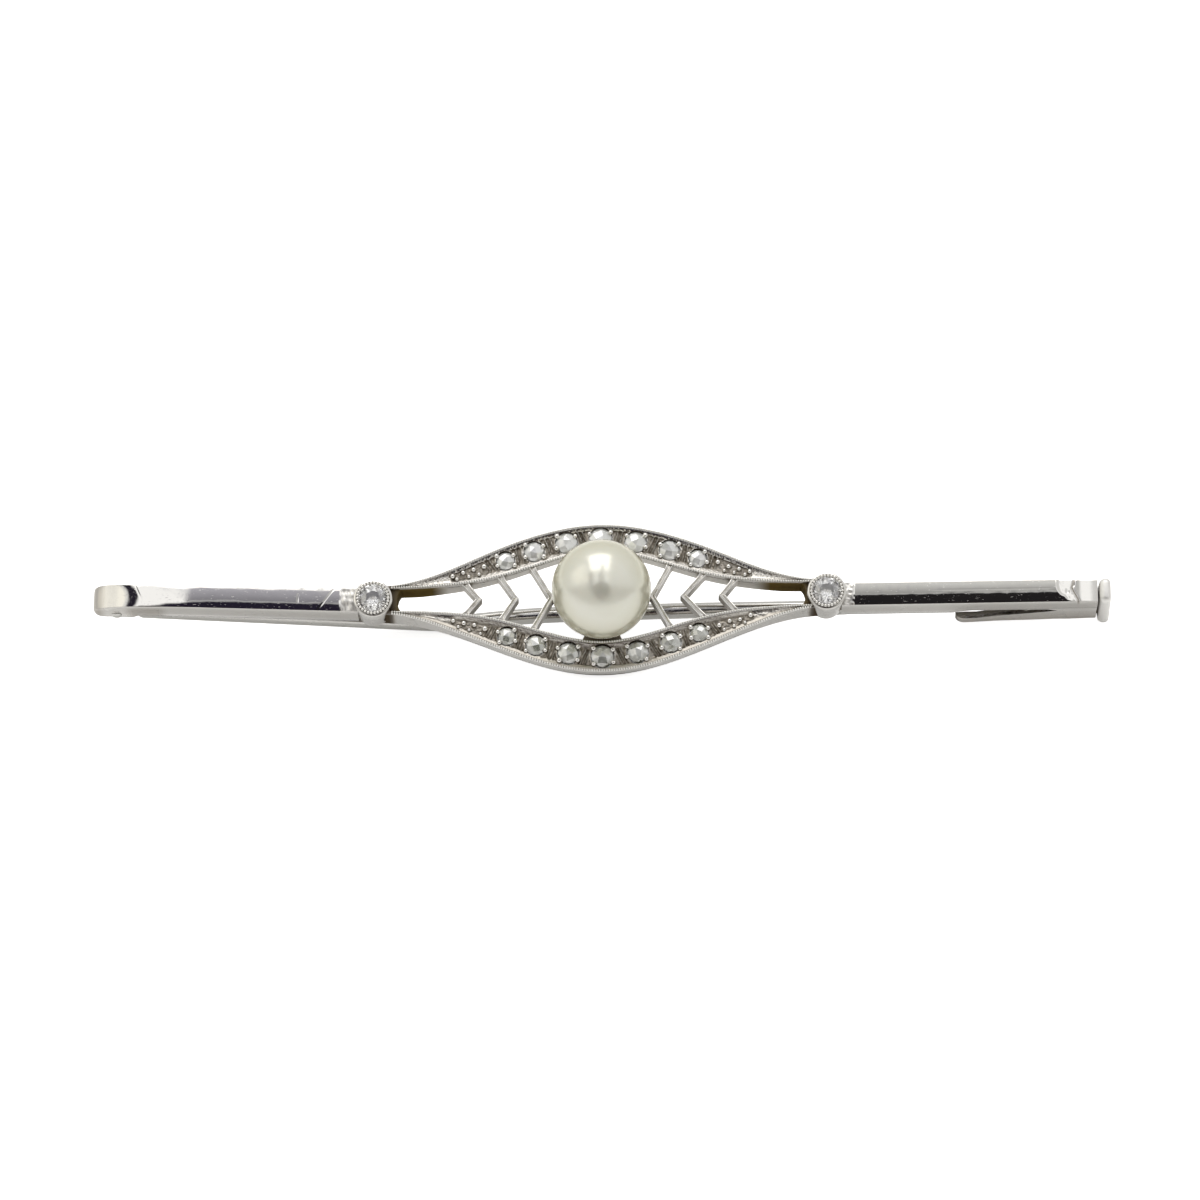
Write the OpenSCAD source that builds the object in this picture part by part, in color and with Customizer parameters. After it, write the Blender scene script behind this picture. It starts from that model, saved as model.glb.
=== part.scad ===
/* [Frame] */
// Half width of the marquise frame at its middle
frame_half_w = 4.59; // [4.3:0.01:5]
// Half width that the frame's outline narrows to past its ends
frame_tip_half_w = 0.85; // [0.75:0.01:0.95]
// Distance from the middle over which the outline narrows
frame_reach = 14; // [13.6:0.1:14.4]
// Depth of the frame at its middle
frame_t = 1.45; // [1.3:0.05:1.6]
// Half width of the opening at its middle
opening_half_w = 2.8; // [2.7:0.01:2.9]
// Half width of the opening near the collets
opening_tip_half_w = 0.68; // [0.6:0.01:0.7]
// How far the opening's bell spreads along the brooch
opening_spread = 5.7; // [5.4:0.1:5.9]
// Width of the raised edge on each side of the stones
rim_w = 0.27; // [0.2:0.01:0.3]
// Depth of the sunk band that holds the stones
channel_t = 0.16; // [0.1:0.01:0.2]

/* [Chevrons] */
// Width of a chevron plate
chevron_w = 0.3; // [0.25:0.01:0.35]
// Depth of a chevron plate
chevron_t = 1.3; // [1:0.05:1.4]

/* [Pearl] */
// Radius of the pearl
pearl_r = 3.03; // [2.9:0.01:3.05]
// Height of the pearl's middle over the frame's face
pearl_z = 1.5; // [1.4:0.05:1.7]

/* [Collets] */
// Distance of the left collet from the middle
left_collet_x = 13.9; // [13.8:0.05:14.1]
// Distance of the right collet from the middle
right_collet_x = 13.7; // [13.6:0.05:13.9]
// Radius of a collet's rim
collet_r = 1.19; // [1.15:0.01:1.25]
// Height of a collet's rim over the bars
collet_rise = 0.45; // [0.35:0.05:0.5]
// Depth of a collet below the bars' face
collet_t = 2.2; // [2.1:0.05:2.3]
// Radius of a collet's stone
collet_stone_r = 0.92; // [0.88:0.01:0.93]

/* [Bars] */
// Half of the length over both ends
half_len = 31; // [30.8:0.1:31.5]
// Width of the left bar
left_bar_w = 1.46; // [1.42:0.01:1.5]
// Width of the right bar
right_bar_w = 1.4; // [1.36:0.01:1.44]
// Depth of the bars
bar_t = 2.1; // [2:0.05:2.15]
// Angle of the left bar to the frame, bent a little in wear
left_bend = 2.5; // [0:0.1:3]
// Shift of the right bar towards the lower edge
right_shift = 0.08; // [0:0.01:0.1]

/* [Pin] */
// Radius of the pin wire
stem_r = 0.49; // [0.45:0.01:0.5]
// Radius of the hinge rivet
rivet_r = 0.25; // [0.22:0.01:0.26]
// Free space between the rivet and the pin's eye
rivet_play = 0.04; // [0.03:0.01:0.06]

/* [Catch] */
// Outer radius of the catch tube
catch_r = 0.9; // [0.88:0.01:0.95]
// Radius of the catch tube's bore
catch_bore_r = 0.62; // [0.6:0.01:0.64]
// Depth of the tube's axis below the bars' face
catch_z = 3; // [2.95:0.05:3.1]
// Free space round the sleeve
sleeve_play = 0.04; // [0.03:0.01:0.06]

/* [Hidden] */
$fn = 48;
gap = 0.02;
steps = 40;
over = 0.5;

// band stones from the left end of an arm: place along the brooch, radius
stone_x = 0;
stone_r = 1;
band_stones = [
    [-5.8, 0.55], [-4.05, 0.62], [-2.08, 0.66], [0, 0.7],
    [2.14, 0.66], [4.18, 0.62], [5.9, 0.55]];

// chevrons from the pearl outwards: point, foot on the arm
chevron_point = 0;
chevron_foot = 1;
chevrons = [[2.9, 4.2], [4.9, 6.2], [7.15, 8.15]];

// frame
arm_end = 13.2;
channel_end = 9.2;
frame_end_t = 2;
arch_r = arm_end * arm_end / (2 * (frame_end_t - frame_t));

// pearl seat
cup_r = 1.9;
cup_bottom = 1.95;
cup_h = 1.4;
cup_taper = 0.6;
peg_r = 0.35;
peg_top = 0.6;

// seats of the stones
seat_t = 0.55;
back_play = 0.05;
ledge_t = 0.26;
ledge_w = 0.04;
collet_taper = 0.2;
collet_back_r = 0.55;
collet_cone_t = 0.7;
bar_start = 0.4;

// left end and hinge
hinge_out = 15.7;
end_top_r = 1.1;
end_low_r = 0.75;
end_dip = 0.05;
cheek_t = 2.5;
cheek_end = 14.8;
cheek_ramp = 0.6;
hinge_z = 2.05;
eye_r = 0.62;
eye_w = 0.6;
slot_w = 0.68;
slot_top = 1.35;
neck_out = 14.1;
neck_top = 2.25;
neck_bottom = 2.95;
eye_room = 0.15;
rivet_head_r = 0.33;
rivet_head_t = 0.12;

// pin: ends and bends of the wire, from the hinge to the point
stem_root = [-28, 0.48, -2.85];
kink_x = -9.4;
kink_y = -0.47;
stem_low = [-4.2, -0.14, -3.3];
stem_flat = [5, -right_shift, -catch_z];
taper_x = 12.6;
tip_x = 24.6;
tip_r = 0.07;
swell = 0.01;

// right end and catch
right_bar_end = 30.2;
catch_x = 21.6;
catch_closed_x = 27.8;
flare_x = 24.4;
flare_r = 1;
web_w = 1;
sleeve_x = 24.75;
sleeve_bore_r = 0.36;
sleeve_bore_t = 4.5;
plate_x = 30.3;
plate_half_w = 0.78;
plate_corner_r = 0.35;
plate_z = 3.3;
plate_r = 1.05;

// the brooch leans on the frame's lower edge, the end plate and the pin's kink
foot_dy = frame_half_w - right_shift;
foot_dz = plate_z - frame_t;
lean = atan2(foot_dz, foot_dy) + asin(plate_r / norm([foot_dy, foot_dz]));
floor_drop = frame_half_w * sin(lean) + frame_t * cos(lean);
kink_z = -(floor_drop - stem_r + kink_y * sin(lean)) / cos(lean);
stem_kink = [kink_x, kink_y, kink_z];
stem_taper = [taper_x, -right_shift, -catch_z];
stem_tip = [tip_x, -right_shift, -catch_z];
stem_path = [stem_root, stem_kink, stem_low, stem_flat, stem_taper];
side_high = frame_half_w * cos(lean) + frame_t * sin(lean);
side_low = -max(frame_half_w * cos(lean), pearl_r + pearl_z * sin(lean));

function outer_half(x) =
    frame_tip_half_w + (frame_half_w - frame_tip_half_w) * (1 + cos(180 * x / frame_reach)) / 2;

function inner_half(x) =
    opening_tip_half_w + (opening_half_w - opening_tip_half_w) * exp(-pow(x / opening_spread, 2));

function band_middle(x) = (outer_half(x) + inner_half(x)) / 2;

function arc_points(x, y, r, from, to, n = 8) =
    [for (i = [0:n]) [x + r * cos(from + (to - from) * i / n), y + r * sin(from + (to - from) * i / n)]];

function unit(v) = v / norm(v);

function stem_way(i) = unit(stem_path[i + 1] - stem_path[i]);

// lays the brooch on its back, leaning on its lower edge
module at_rest() {
    translate([0, -(side_high + side_low) / 2, floor_drop])
        rotate([lean, 0, 0])
            children();
}

// frame of the left bar, whose x runs outwards from the collet
module on_left_bar() {
    translate([-left_collet_x, 0, 0])
        rotate([0, 0, -left_bend])
            mirror([1, 0, 0])
                children();
}

module band_outline(end, inset) {
    xs = [for (i = [0:steps]) end * (2 * i / steps - 1)];
    polygon(concat(
        [for (x = xs) [x, outer_half(x) - inset]],
        [for (i = [steps:-1:0]) [xs[i], inner_half(xs[i]) + inset]]));
}

module band_seats() {
    for (stone = band_stones)
        translate([stone[stone_x], band_middle(stone[stone_x]), -seat_t])
            cylinder(r = stone[stone_r] + gap, h = seat_t + over);
}

module arm() {
    difference() {
        translate([0, 0, -frame_end_t])
            linear_extrude(height = frame_end_t)
                band_outline(arm_end, 0);
        translate([0, 0, -channel_t])
            linear_extrude(height = over)
                band_outline(channel_end, rim_w);
        band_seats();
        translate([0, 0, -frame_t - arch_r])
            rotate([90, 0, 0])
                cylinder(r = arch_r, h = 4 * frame_half_w, center = true, $fn = 360);
    }
}

module chevron(point, foot) {
    foot_y = inner_half(foot) + rim_w / 2;
    leg = [foot - point, foot_y];
    slant = chevron_w * norm(leg) / foot_y / 2;
    translate([0, 0, -chevron_t])
        linear_extrude(height = chevron_t - gap)
            polygon([[point - slant, 0], [foot - slant, foot_y], [foot + slant, foot_y],
                [point + slant, 0], [foot + slant, -foot_y], [foot - slant, -foot_y]]);
}

// cup under the pearl, with its peg and the struts to the inner chevrons
module pearl_seat() {
    difference() {
        union() {
            translate([0, 0, -cup_bottom])
                cylinder(r1 = cup_r - cup_taper, r2 = cup_r, h = cup_h);
            translate([-chevrons[0][chevron_point], -chevron_w / 2, -frame_t])
                cube([2 * chevrons[0][chevron_point], chevron_w, frame_t - 0.1]);
        }
        translate([0, 0, pearl_z])
            sphere(r = pearl_r + gap, $fn = 96);
    }
    translate([0, 0, -cup_bottom])
        cylinder(r = peg_r, h = cup_bottom + peg_top);
}

// tapered cup with a ledge for the stone and an open back
module collet() {
    difference() {
        translate([0, 0, -collet_t])
            cylinder(r1 = collet_r - collet_taper, r2 = collet_r, h = collet_t + collet_rise);
        translate([0, 0, collet_rise - ledge_t])
            cylinder(r = collet_stone_r + gap, h = over);
        translate([0, 0, -collet_cone_t])
            cylinder(r1 = collet_back_r, r2 = collet_stone_r - ledge_w,
                h = collet_rise - ledge_t + collet_cone_t + gap);
        translate([0, 0, -collet_t - over])
            cylinder(r = collet_back_r, h = collet_t + over);
    }
}

module left_bar() {
    end_x = half_len - left_collet_x;
    difference() {
        translate([0, left_bar_w / 2, 0])
            rotate([90, 0, 0])
                linear_extrude(height = left_bar_w)
                    polygon(concat(
                        [[bar_start, 0], [bar_start, -bar_t]],
                        [[cheek_end - cheek_ramp, -bar_t], [cheek_end, -cheek_t]],
                        arc_points(end_x - end_low_r, end_low_r - cheek_t, end_low_r, -90, 0),
                        arc_points(end_x - end_top_r, -end_top_r - end_dip, end_top_r, 0, 80),
                        [[cheek_end - bar_start, 0]]));
        translate([hinge_out, 0, -hinge_z])
            rotate([90, 0, 0])
                cylinder(r = rivet_r + gap, h = 2 * left_bar_w, center = true);
        translate([hinge_out - eye_r - eye_room, -slot_w / 2, -cheek_t - over])
            cube([2 * (eye_r + eye_room), slot_w, cheek_t + over - slot_top]);
        translate([neck_out - 2 * eye_room, -slot_w / 2, -cheek_t - over])
            cube([hinge_out - neck_out, slot_w, cheek_t + over - neck_top + eye_room]);
    }
}

// bore and straight way out of the catch, seen along the bar
module catch_bore() {
    translate([catch_x - over, -right_shift, -catch_z])
        rotate([0, 90, 0])
            cylinder(r = catch_bore_r, h = half_len - catch_x + 2 * over);
    translate([catch_x - over, -right_shift - catch_bore_r, -catch_z - 2])
        cube([catch_closed_x - catch_x + over, 2 * catch_bore_r, 2]);
}

// long narrow window in the lower side of the catch, pointed at both ends
module catch_window() {
    translate([0, -right_shift - 0.25, 0])
        rotate([90, 0, 0])
            linear_extrude(height = 1)
                polygon([[21.9, -2.45], [23.3, -1.75], [25.4, -1.6], [27.3, -1.75],
                    [27.8, -1.95], [26.6, -2.3], [24.2, -2.55]]);
}

module right_bar() {
    difference() {
        union() {
            translate([right_collet_x + bar_start, -right_shift - right_bar_w / 2, -bar_t])
                cube([right_bar_end - right_collet_x - bar_start, right_bar_w, bar_t]);
            translate([catch_x, -right_shift, -catch_z])
                rotate([0, 90, 0])
                    cylinder(r = catch_r, h = right_bar_end - catch_x);
            translate([catch_x, -right_shift, -catch_z])
                rotate([0, 90, 0])
                    cylinder(r1 = flare_r, r2 = catch_r, h = flare_x - catch_x);
            translate([catch_x + bar_start, -right_shift - web_w / 2, -catch_z])
                cube([right_bar_end - catch_x - bar_start, web_w, catch_z - bar_t + gap]);
        }
        catch_bore();
        catch_window();
    }
}

// removes the bars' ends from inside the collets
module collet_hollow() {
    translate([0, 0, -collet_t - over])
        cylinder(r = 0.75, h = collet_t + collet_rise + 2 * over);
}

module setting() {
    color("silver")
        at_rest() {
            arm();
            mirror([0, 1, 0])
                arm();
            for (side = [0, 1], row = chevrons)
                mirror([side, 0, 0])
                    chevron(row[chevron_point], row[chevron_foot]);
            pearl_seat();
            difference() {
                on_left_bar()
                    left_bar();
                translate([-left_collet_x, 0, 0])
                    collet_hollow();
            }
            difference() {
                right_bar();
                translate([right_collet_x, 0, 0])
                    collet_hollow();
            }
            translate([-left_collet_x, 0, 0])
                collet();
            translate([right_collet_x, 0, 0])
                collet();
        }
}

module pearl() {
    color("ivory")
        at_rest()
            difference() {
                translate([0, 0, pearl_z])
                    sphere(r = pearl_r, $fn = 96);
                translate([0, 0, -cup_bottom])
                    cylinder(r = peg_r + gap, h = cup_bottom + peg_top + back_play);
            }
}

// thin ring of facet corners at one height of a stone
module facet_ring(z, r, count, turn = 0) {
    translate([0, 0, z])
        rotate([0, 0, turn])
            cylinder(r = r, h = gap / 2, $fn = count);
}

// old-cut diamond: table, crown, girdle, pavilion and a small culet
module collet_stone(x, turn) {
    r = collet_stone_r;
    color("aliceblue")
        at_rest()
            translate([x, 0, collet_rise - ledge_t + back_play])
                rotate([0, 0, turn])
                    hull() {
                        facet_ring(0.35 * r, 0.48 * r, 8);
                        facet_ring(0.22 * r, 0.76 * r, 8, 22.5);
                        facet_ring(0.04 * r, r, 16);
                        facet_ring(0, r, 16);
                        facet_ring(-0.45 * r, 0.4 * r, 8);
                        facet_ring(-0.68 * r, 0.09 * r, 8);
                    }
}

// rose-cut diamond: flat back, two rings of facets and a small table
module band_diamond(side, row) {
    r = row[stone_r];
    girdle_t = 0.36;
    color("aliceblue")
        at_rest()
            translate([row[stone_x], side * band_middle(row[stone_x]), back_play - seat_t])
                rotate([0, 0, 60 * row[stone_x]])
                    hull() {
                        cylinder(r = r, h = girdle_t, $fn = 12);
                        facet_ring(girdle_t + 0.26 * r, 0.74 * r, 6, 30);
                        facet_ring(girdle_t + 0.43 * r, 0.36 * r, 6);
                    }
}

// straight piece of wire between two points
module wire(from, to, r1, r2) {
    way = to - from;
    translate(from)
        rotate([0, acos(way[2] / norm(way)), atan2(way[1], way[0])])
            cylinder(r1 = r1, r2 = r2, h = norm(way));
}

// ball in a bend or at an end of the wire, its poles along the wire
module wire_ball(at, way, r) {
    translate(at)
        rotate([0, acos(way[2] / norm(way)), atan2(way[1], way[0])])
            sphere(r = r);
}

module pin_stem() {
    neck_l = hinge_out - neck_out - rivet_r - eye_room;
    color("silver")
        at_rest() {
            for (i = [0:len(stem_path) - 2])
                wire(stem_path[i], stem_path[i + 1], stem_r, stem_r);
            wire(stem_taper, stem_tip, stem_r, tip_r);
            wire_ball(stem_root, stem_way(0), stem_r + swell);
            for (i = [1:len(stem_path) - 2])
                wire_ball(stem_path[i], stem_way(i - 1) + stem_way(i), stem_r + swell);
            wire_ball(stem_tip, stem_way(3), tip_r + swell);
            on_left_bar()
                difference() {
                    union() {
                        translate([hinge_out, 0, -hinge_z])
                            rotate([90, 0, 0])
                                cylinder(r = eye_r, h = eye_w, center = true);
                        translate([neck_out, -eye_w / 2, -neck_bottom])
                            cube([neck_l, eye_w, neck_bottom - neck_top]);
                    }
                    translate([hinge_out, 0, -hinge_z])
                        rotate([90, 0, 0])
                            cylinder(r = rivet_r + rivet_play, h = 2 * eye_w, center = true);
                }
        }
}

module hinge_rivet() {
    head_y = left_bar_w / 2 + gap;
    color("silver")
        at_rest()
            on_left_bar()
                translate([hinge_out, 0, -hinge_z])
                    rotate([90, 0, 0]) {
                        cylinder(r = rivet_r, h = 2 * head_y + rivet_head_t, center = true);
                        for (side = [0, 1])
                            mirror([0, 0, side])
                                translate([0, 0, head_y])
                                    cylinder(r1 = rivet_head_r, r2 = rivet_r, h = rivet_head_t);
                    }
}

// end plate seen along the bar: rounded top corners, round foot
module plate_outline() {
    corner_y = plate_half_w - plate_corner_r;
    polygon(concat(
        arc_points(corner_y, -plate_corner_r, plate_corner_r, 0, 90),
        arc_points(-corner_y, -plate_corner_r, plate_corner_r, 90, 180),
        arc_points(0, -plate_z, plate_r, 180, 360, 24)));
}

// safety slide: a tube in the catch and the flared end plate that it is pulled by
module catch_sleeve() {
    color("silver")
        at_rest()
            translate([0, -right_shift, 0])
                difference() {
                    union() {
                        translate([sleeve_x, 0, -catch_z])
                            rotate([0, 90, 0])
                                cylinder(r = catch_bore_r - sleeve_play, h = plate_x - sleeve_x + gap);
                        translate([plate_x, 0, 0])
                            rotate([90, 0, 90])
                                linear_extrude(height = half_len - plate_x)
                                    plate_outline();
                    }
                    translate([sleeve_x - over, 0, -catch_z])
                        rotate([0, 90, 0])
                            cylinder(r = sleeve_bore_r, h = sleeve_bore_t + over);
                }
}

setting();
pearl();
collet_stone(-left_collet_x, 10);  // collet_stone_left
collet_stone(right_collet_x, 32);  // collet_stone_right
band_diamond(1, band_stones[0]);  // upper_diamond_1
band_diamond(1, band_stones[1]);  // upper_diamond_2
band_diamond(1, band_stones[2]);  // upper_diamond_3
band_diamond(1, band_stones[3]);  // upper_diamond_4
band_diamond(1, band_stones[4]);  // upper_diamond_5
band_diamond(1, band_stones[5]);  // upper_diamond_6
band_diamond(1, band_stones[6]);  // upper_diamond_7
band_diamond(-1, band_stones[0]);  // lower_diamond_1
band_diamond(-1, band_stones[1]);  // lower_diamond_2
band_diamond(-1, band_stones[2]);  // lower_diamond_3
band_diamond(-1, band_stones[3]);  // lower_diamond_4
band_diamond(-1, band_stones[4]);  // lower_diamond_5
band_diamond(-1, band_stones[5]);  // lower_diamond_6
band_diamond(-1, band_stones[6]);  // lower_diamond_7
pin_stem();
hinge_rivet();
catch_sleeve();
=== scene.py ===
import math

import bmesh
import bpy
import numpy as np
from mathutils import Matrix, Vector


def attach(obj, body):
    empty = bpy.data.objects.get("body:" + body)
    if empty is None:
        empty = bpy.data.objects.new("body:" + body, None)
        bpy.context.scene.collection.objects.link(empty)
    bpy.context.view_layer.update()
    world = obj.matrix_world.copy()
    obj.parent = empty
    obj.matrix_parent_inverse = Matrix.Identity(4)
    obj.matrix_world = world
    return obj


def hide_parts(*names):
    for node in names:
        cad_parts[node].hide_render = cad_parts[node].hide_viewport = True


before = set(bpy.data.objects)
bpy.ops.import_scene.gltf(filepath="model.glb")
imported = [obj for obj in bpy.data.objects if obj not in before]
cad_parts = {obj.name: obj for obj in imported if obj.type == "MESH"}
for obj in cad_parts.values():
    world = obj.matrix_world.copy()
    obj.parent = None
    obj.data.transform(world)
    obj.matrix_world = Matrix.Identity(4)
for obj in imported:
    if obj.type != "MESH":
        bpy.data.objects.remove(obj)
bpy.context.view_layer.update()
print("brooch: frame loaded")

mm = 0.001

# the brooch is drawn face up in millimetres, x along it, y towards its upper edge, z out of its face,
# and then laid down on its lower edge, its end plate and the kink of its pin
restPose = {
    "frameHalfWidth": 4.59, "frameDepth": 1.45, "barShift": 0.08,
    "plateFootDepth": 3.3, "plateFootRadius": 1.05, "pearlRadius": 3.03, "pearlHeight": 1.5,
}


def restMatrixFrom(pose):
    footY = pose["frameHalfWidth"] - pose["barShift"]
    footZ = pose["plateFootDepth"] - pose["frameDepth"]
    lean = math.atan2(footZ, footY) + math.asin(pose["plateFootRadius"] / math.hypot(footY, footZ))
    drop = pose["frameHalfWidth"] * math.sin(lean) + pose["frameDepth"] * math.cos(lean)
    high = pose["frameHalfWidth"] * math.cos(lean) + pose["frameDepth"] * math.sin(lean)
    low = max(pose["frameHalfWidth"] * math.cos(lean), pose["pearlRadius"] + pose["pearlHeight"] * math.sin(lean))
    return Matrix.Translation((0, (low - high) / 2 * mm, drop * mm)) @ Matrix.Rotation(lean, 4, "X"), lean


restMatrix, leanAngle = restMatrixFrom(restPose)


# mesh helpers: everything is shaped in millimetres and shrunk to metres at the end
def inScene(name, data):
    made = bpy.data.objects.new(name, data)
    bpy.context.scene.collection.objects.link(made)
    return made


def rawObject(name, points, faces):
    mesh = bpy.data.meshes.new(name)
    mesh.from_pydata([tuple(float(v) for v in p) for p in points], [], faces)
    work = bmesh.new()
    work.from_mesh(mesh)
    bmesh.ops.remove_doubles(work, verts=work.verts, dist=1e-5)
    bmesh.ops.recalc_face_normals(work, faces=work.faces)
    work.to_mesh(mesh)
    work.free()
    return inScene(name, mesh)


def applied(piece):
    bpy.context.view_layer.update()
    result = bpy.data.meshes.new_from_object(piece.evaluated_get(bpy.context.evaluated_depsgraph_get()))
    old = piece.data
    piece.modifiers.clear()
    piece.data = result
    bpy.data.meshes.remove(old)
    return piece


def bevelled(piece, width, segments=2, angle=35):
    bevel = piece.modifiers.new("edge", "BEVEL")
    bevel.width = width
    bevel.segments = segments
    bevel.limit_method = "ANGLE"
    bevel.angle_limit = math.radians(angle)
    bevel.use_clamp_overlap = True
    return applied(piece)


def cutBy(piece, cutter):
    cut = piece.modifiers.new("cut", "BOOLEAN")
    cut.operation = "DIFFERENCE"
    cut.solver = "EXACT"
    cut.object = cutter
    return applied(piece)


def dropped(*pieces):
    for piece in pieces:
        mesh = piece.data
        bpy.data.objects.remove(piece)
        bpy.data.meshes.remove(mesh)


def joinedTo(piece, others):
    work = bmesh.new()
    work.from_mesh(piece.data)
    for other in others:
        work.from_mesh(other.data)
    work.to_mesh(piece.data)
    work.free()
    dropped(*others)
    return piece


def pointsOf(piece):
    spots = np.empty(len(piece.data.vertices) * 3)
    piece.data.vertices.foreach_get("co", spots)
    return spots.reshape(-1, 3).T


# a share from 0 to 1 kept on every point, which the piece's material reads
def keepOnPoints(piece, name, share):
    share = np.broadcast_to(np.clip(share, 0, 1), (len(piece.data.vertices),)).astype(np.float32)
    piece.data.attributes.new(name, "FLOAT", "POINT").data.foreach_set("value", share)


# gives a piece its material, brings it to its place on the brooch and lays it down with it
def settled(piece, material, body, smoothAngle=35, place=None):
    mesh = piece.data
    if place is not None:
        mesh.transform(place)
        if place.determinant() < 0:
            mesh.flip_normals()
    mesh.transform(restMatrix @ Matrix.Scale(mm, 4))
    mesh.materials.clear()
    mesh.materials.append(material)
    mesh.polygons.foreach_set("use_smooth", [smoothAngle > 0] * len(mesh.polygons))
    if smoothAngle > 0:
        mesh.set_sharp_from_angle(angle=math.radians(smoothAngle))
    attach(piece, body)
    return piece


# a skin over closed rings of points, one after another
def loft(name, rings, capped=True):
    count = len(rings[0])
    points = [p for ring in rings for p in ring]
    faces = []
    for i in range(len(rings) - 1):
        for j in range(count):
            k = (j + 1) % count
            faces.append((i * count + j, i * count + k, (i + 1) * count + k, (i + 1) * count + j))
    if capped:
        faces.append(tuple(range(count)))
        faces.append(tuple(range((len(rings) - 1) * count, len(rings) * count)))
    return rawObject(name, points, faces)


def onAxis(axis, a, b, along):
    return {"x": (along, a, b), "y": (a, along, b), "z": (a, b, along)}[axis]


# a closed section of (radius, place along the axis) pairs, turned round the axis
def lathe(name, section, turns, centre=(0, 0, 0), axis="z"):
    rings = []
    for i in range(turns):
        c, s = math.cos(2 * math.pi * i / turns), math.sin(2 * math.pi * i / turns)
        rings.append([tuple(v + d for v, d in zip(centre, onAxis(axis, r * c, r * s, h))) for r, h in section])
    rings.append(rings[0])
    return loft(name, rings, capped=False)


# a flat outline with thickness from low to high along the axis
def plate(name, outline, low, high, axis="z"):
    count = len(outline)
    points = [onAxis(axis, a, b, along) for along in (low, high) for a, b in outline]
    faces = [tuple(range(count)), tuple(range(count, 2 * count))]
    faces += [(j, (j + 1) % count, count + (j + 1) % count, count + j) for j in range(count)]
    return rawObject(name, points, faces)


def beadShape(rings, segments):
    points = [(0, 0, 1)]
    for i in range(1, rings):
        a = math.pi * i / rings
        points += [(math.sin(a) * math.cos(2 * math.pi * j / segments),
                    math.sin(a) * math.sin(2 * math.pi * j / segments), math.cos(a)) for j in range(segments)]
    points.append((0, 0, -1))
    faces = [(0, 1 + j, 1 + (j + 1) % segments) for j in range(segments)]
    for i in range(rings - 2):
        base = 1 + i * segments
        faces += [(base + j, base + segments + j, base + segments + (j + 1) % segments, base + (j + 1) % segments)
                  for j in range(segments)]
    base = 1 + (rings - 2) * segments
    faces += [(base + j, len(points) - 1, base + (j + 1) % segments) for j in range(segments)]
    return np.array(points), faces


# many small beads as one mesh: each spot is a centre and the size along x, y and z
def beadMesh(name, spots, rings=5, segments=8):
    shape, shapeFaces = beadShape(rings, segments)
    points, faces = [], []
    for i, (centre, size) in enumerate(spots):
        points.append(shape * np.array(size) + np.array(centre))
        faces += [tuple(i * len(shape) + v for v in face) for face in shapeFaces]
    mesh = bpy.data.meshes.new(name)
    mesh.from_pydata(np.vstack(points).tolist(), [], faces)
    return inScene(name, mesh)


# material helpers: a value given to them is a number, a colour or the output of another node
def newMaterial(name):
    material = bpy.data.materials.new(name)
    material.use_nodes = True
    tree = material.node_tree
    tree.nodes.clear()
    out = tree.nodes.new("ShaderNodeOutputMaterial")
    shader = tree.nodes.new("ShaderNodeBsdfPrincipled")
    tree.links.new(shader.outputs["BSDF"], out.inputs["Surface"])
    return material, tree, shader


def node(tree, kind, **settings):
    made = tree.nodes.new(kind)
    for key, value in settings.items():
        setattr(made, key, value)
    return made


def feed(tree, socket, value):
    if value is None:
        return
    if isinstance(value, (int, float)):
        socket.default_value = value
    elif isinstance(value, tuple):
        socket.default_value = (*value, 1)
    else:
        tree.links.new(value, socket)


def calc(tree, operation, a, b=None, clamp=False):
    made = node(tree, "ShaderNodeMath", operation=operation, use_clamp=clamp)
    feed(tree, made.inputs[0], a)
    feed(tree, made.inputs[1], b)
    return made.outputs[0]


def product(tree, a, b, clamp=False):
    return calc(tree, "MULTIPLY", a, b, clamp)


def remap(tree, value, fromLow, fromHigh, toLow=0.0, toHigh=1.0):
    made = node(tree, "ShaderNodeMapRange", clamp=True)
    bounds = {"Value": value, "From Min": fromLow, "From Max": fromHigh, "To Min": toLow, "To Max": toHigh}
    for key, bound in bounds.items():
        feed(tree, made.inputs[key], bound)
    return made.outputs["Result"]


def mixColour(tree, factor, a, b):
    made = node(tree, "ShaderNodeMix", data_type="RGBA")
    for socket, value in zip((made.inputs["Factor"], made.inputs[6], made.inputs[7]), (factor, a, b)):
        feed(tree, socket, value)
    return made.outputs[2]


def noiseAt(tree, vector, scale, detail=2.0, roughness=0.5):
    made = node(tree, "ShaderNodeTexNoise")
    for key, value in (("Vector", vector), ("Scale", scale), ("Detail", detail), ("Roughness", roughness)):
        feed(tree, made.inputs[key], value)
    return made.outputs["Fac"]


def bumpInto(tree, shader, height, distance, strength=1.0):
    bump = node(tree, "ShaderNodeBump")
    bump.inputs["Strength"].default_value = strength
    bump.inputs["Distance"].default_value = distance * mm
    tree.links.new(height, bump.inputs["Height"])
    tree.links.new(bump.outputs["Normal"], shader.inputs["Normal"])


# place on the brooch lying face up, so that scratches and tarnish follow its own length and depth
def broochVector(tree):
    coords = node(tree, "ShaderNodeTexCoord")
    mapping = node(tree, "ShaderNodeMapping", vector_type="TEXTURE")
    mapping.inputs["Location"].default_value = restMatrix.translation
    mapping.inputs["Rotation"].default_value = (leanAngle, 0, 0)
    tree.links.new(coords.outputs["Object"], mapping.inputs["Vector"])
    return mapping.outputs["Vector"]


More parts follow.
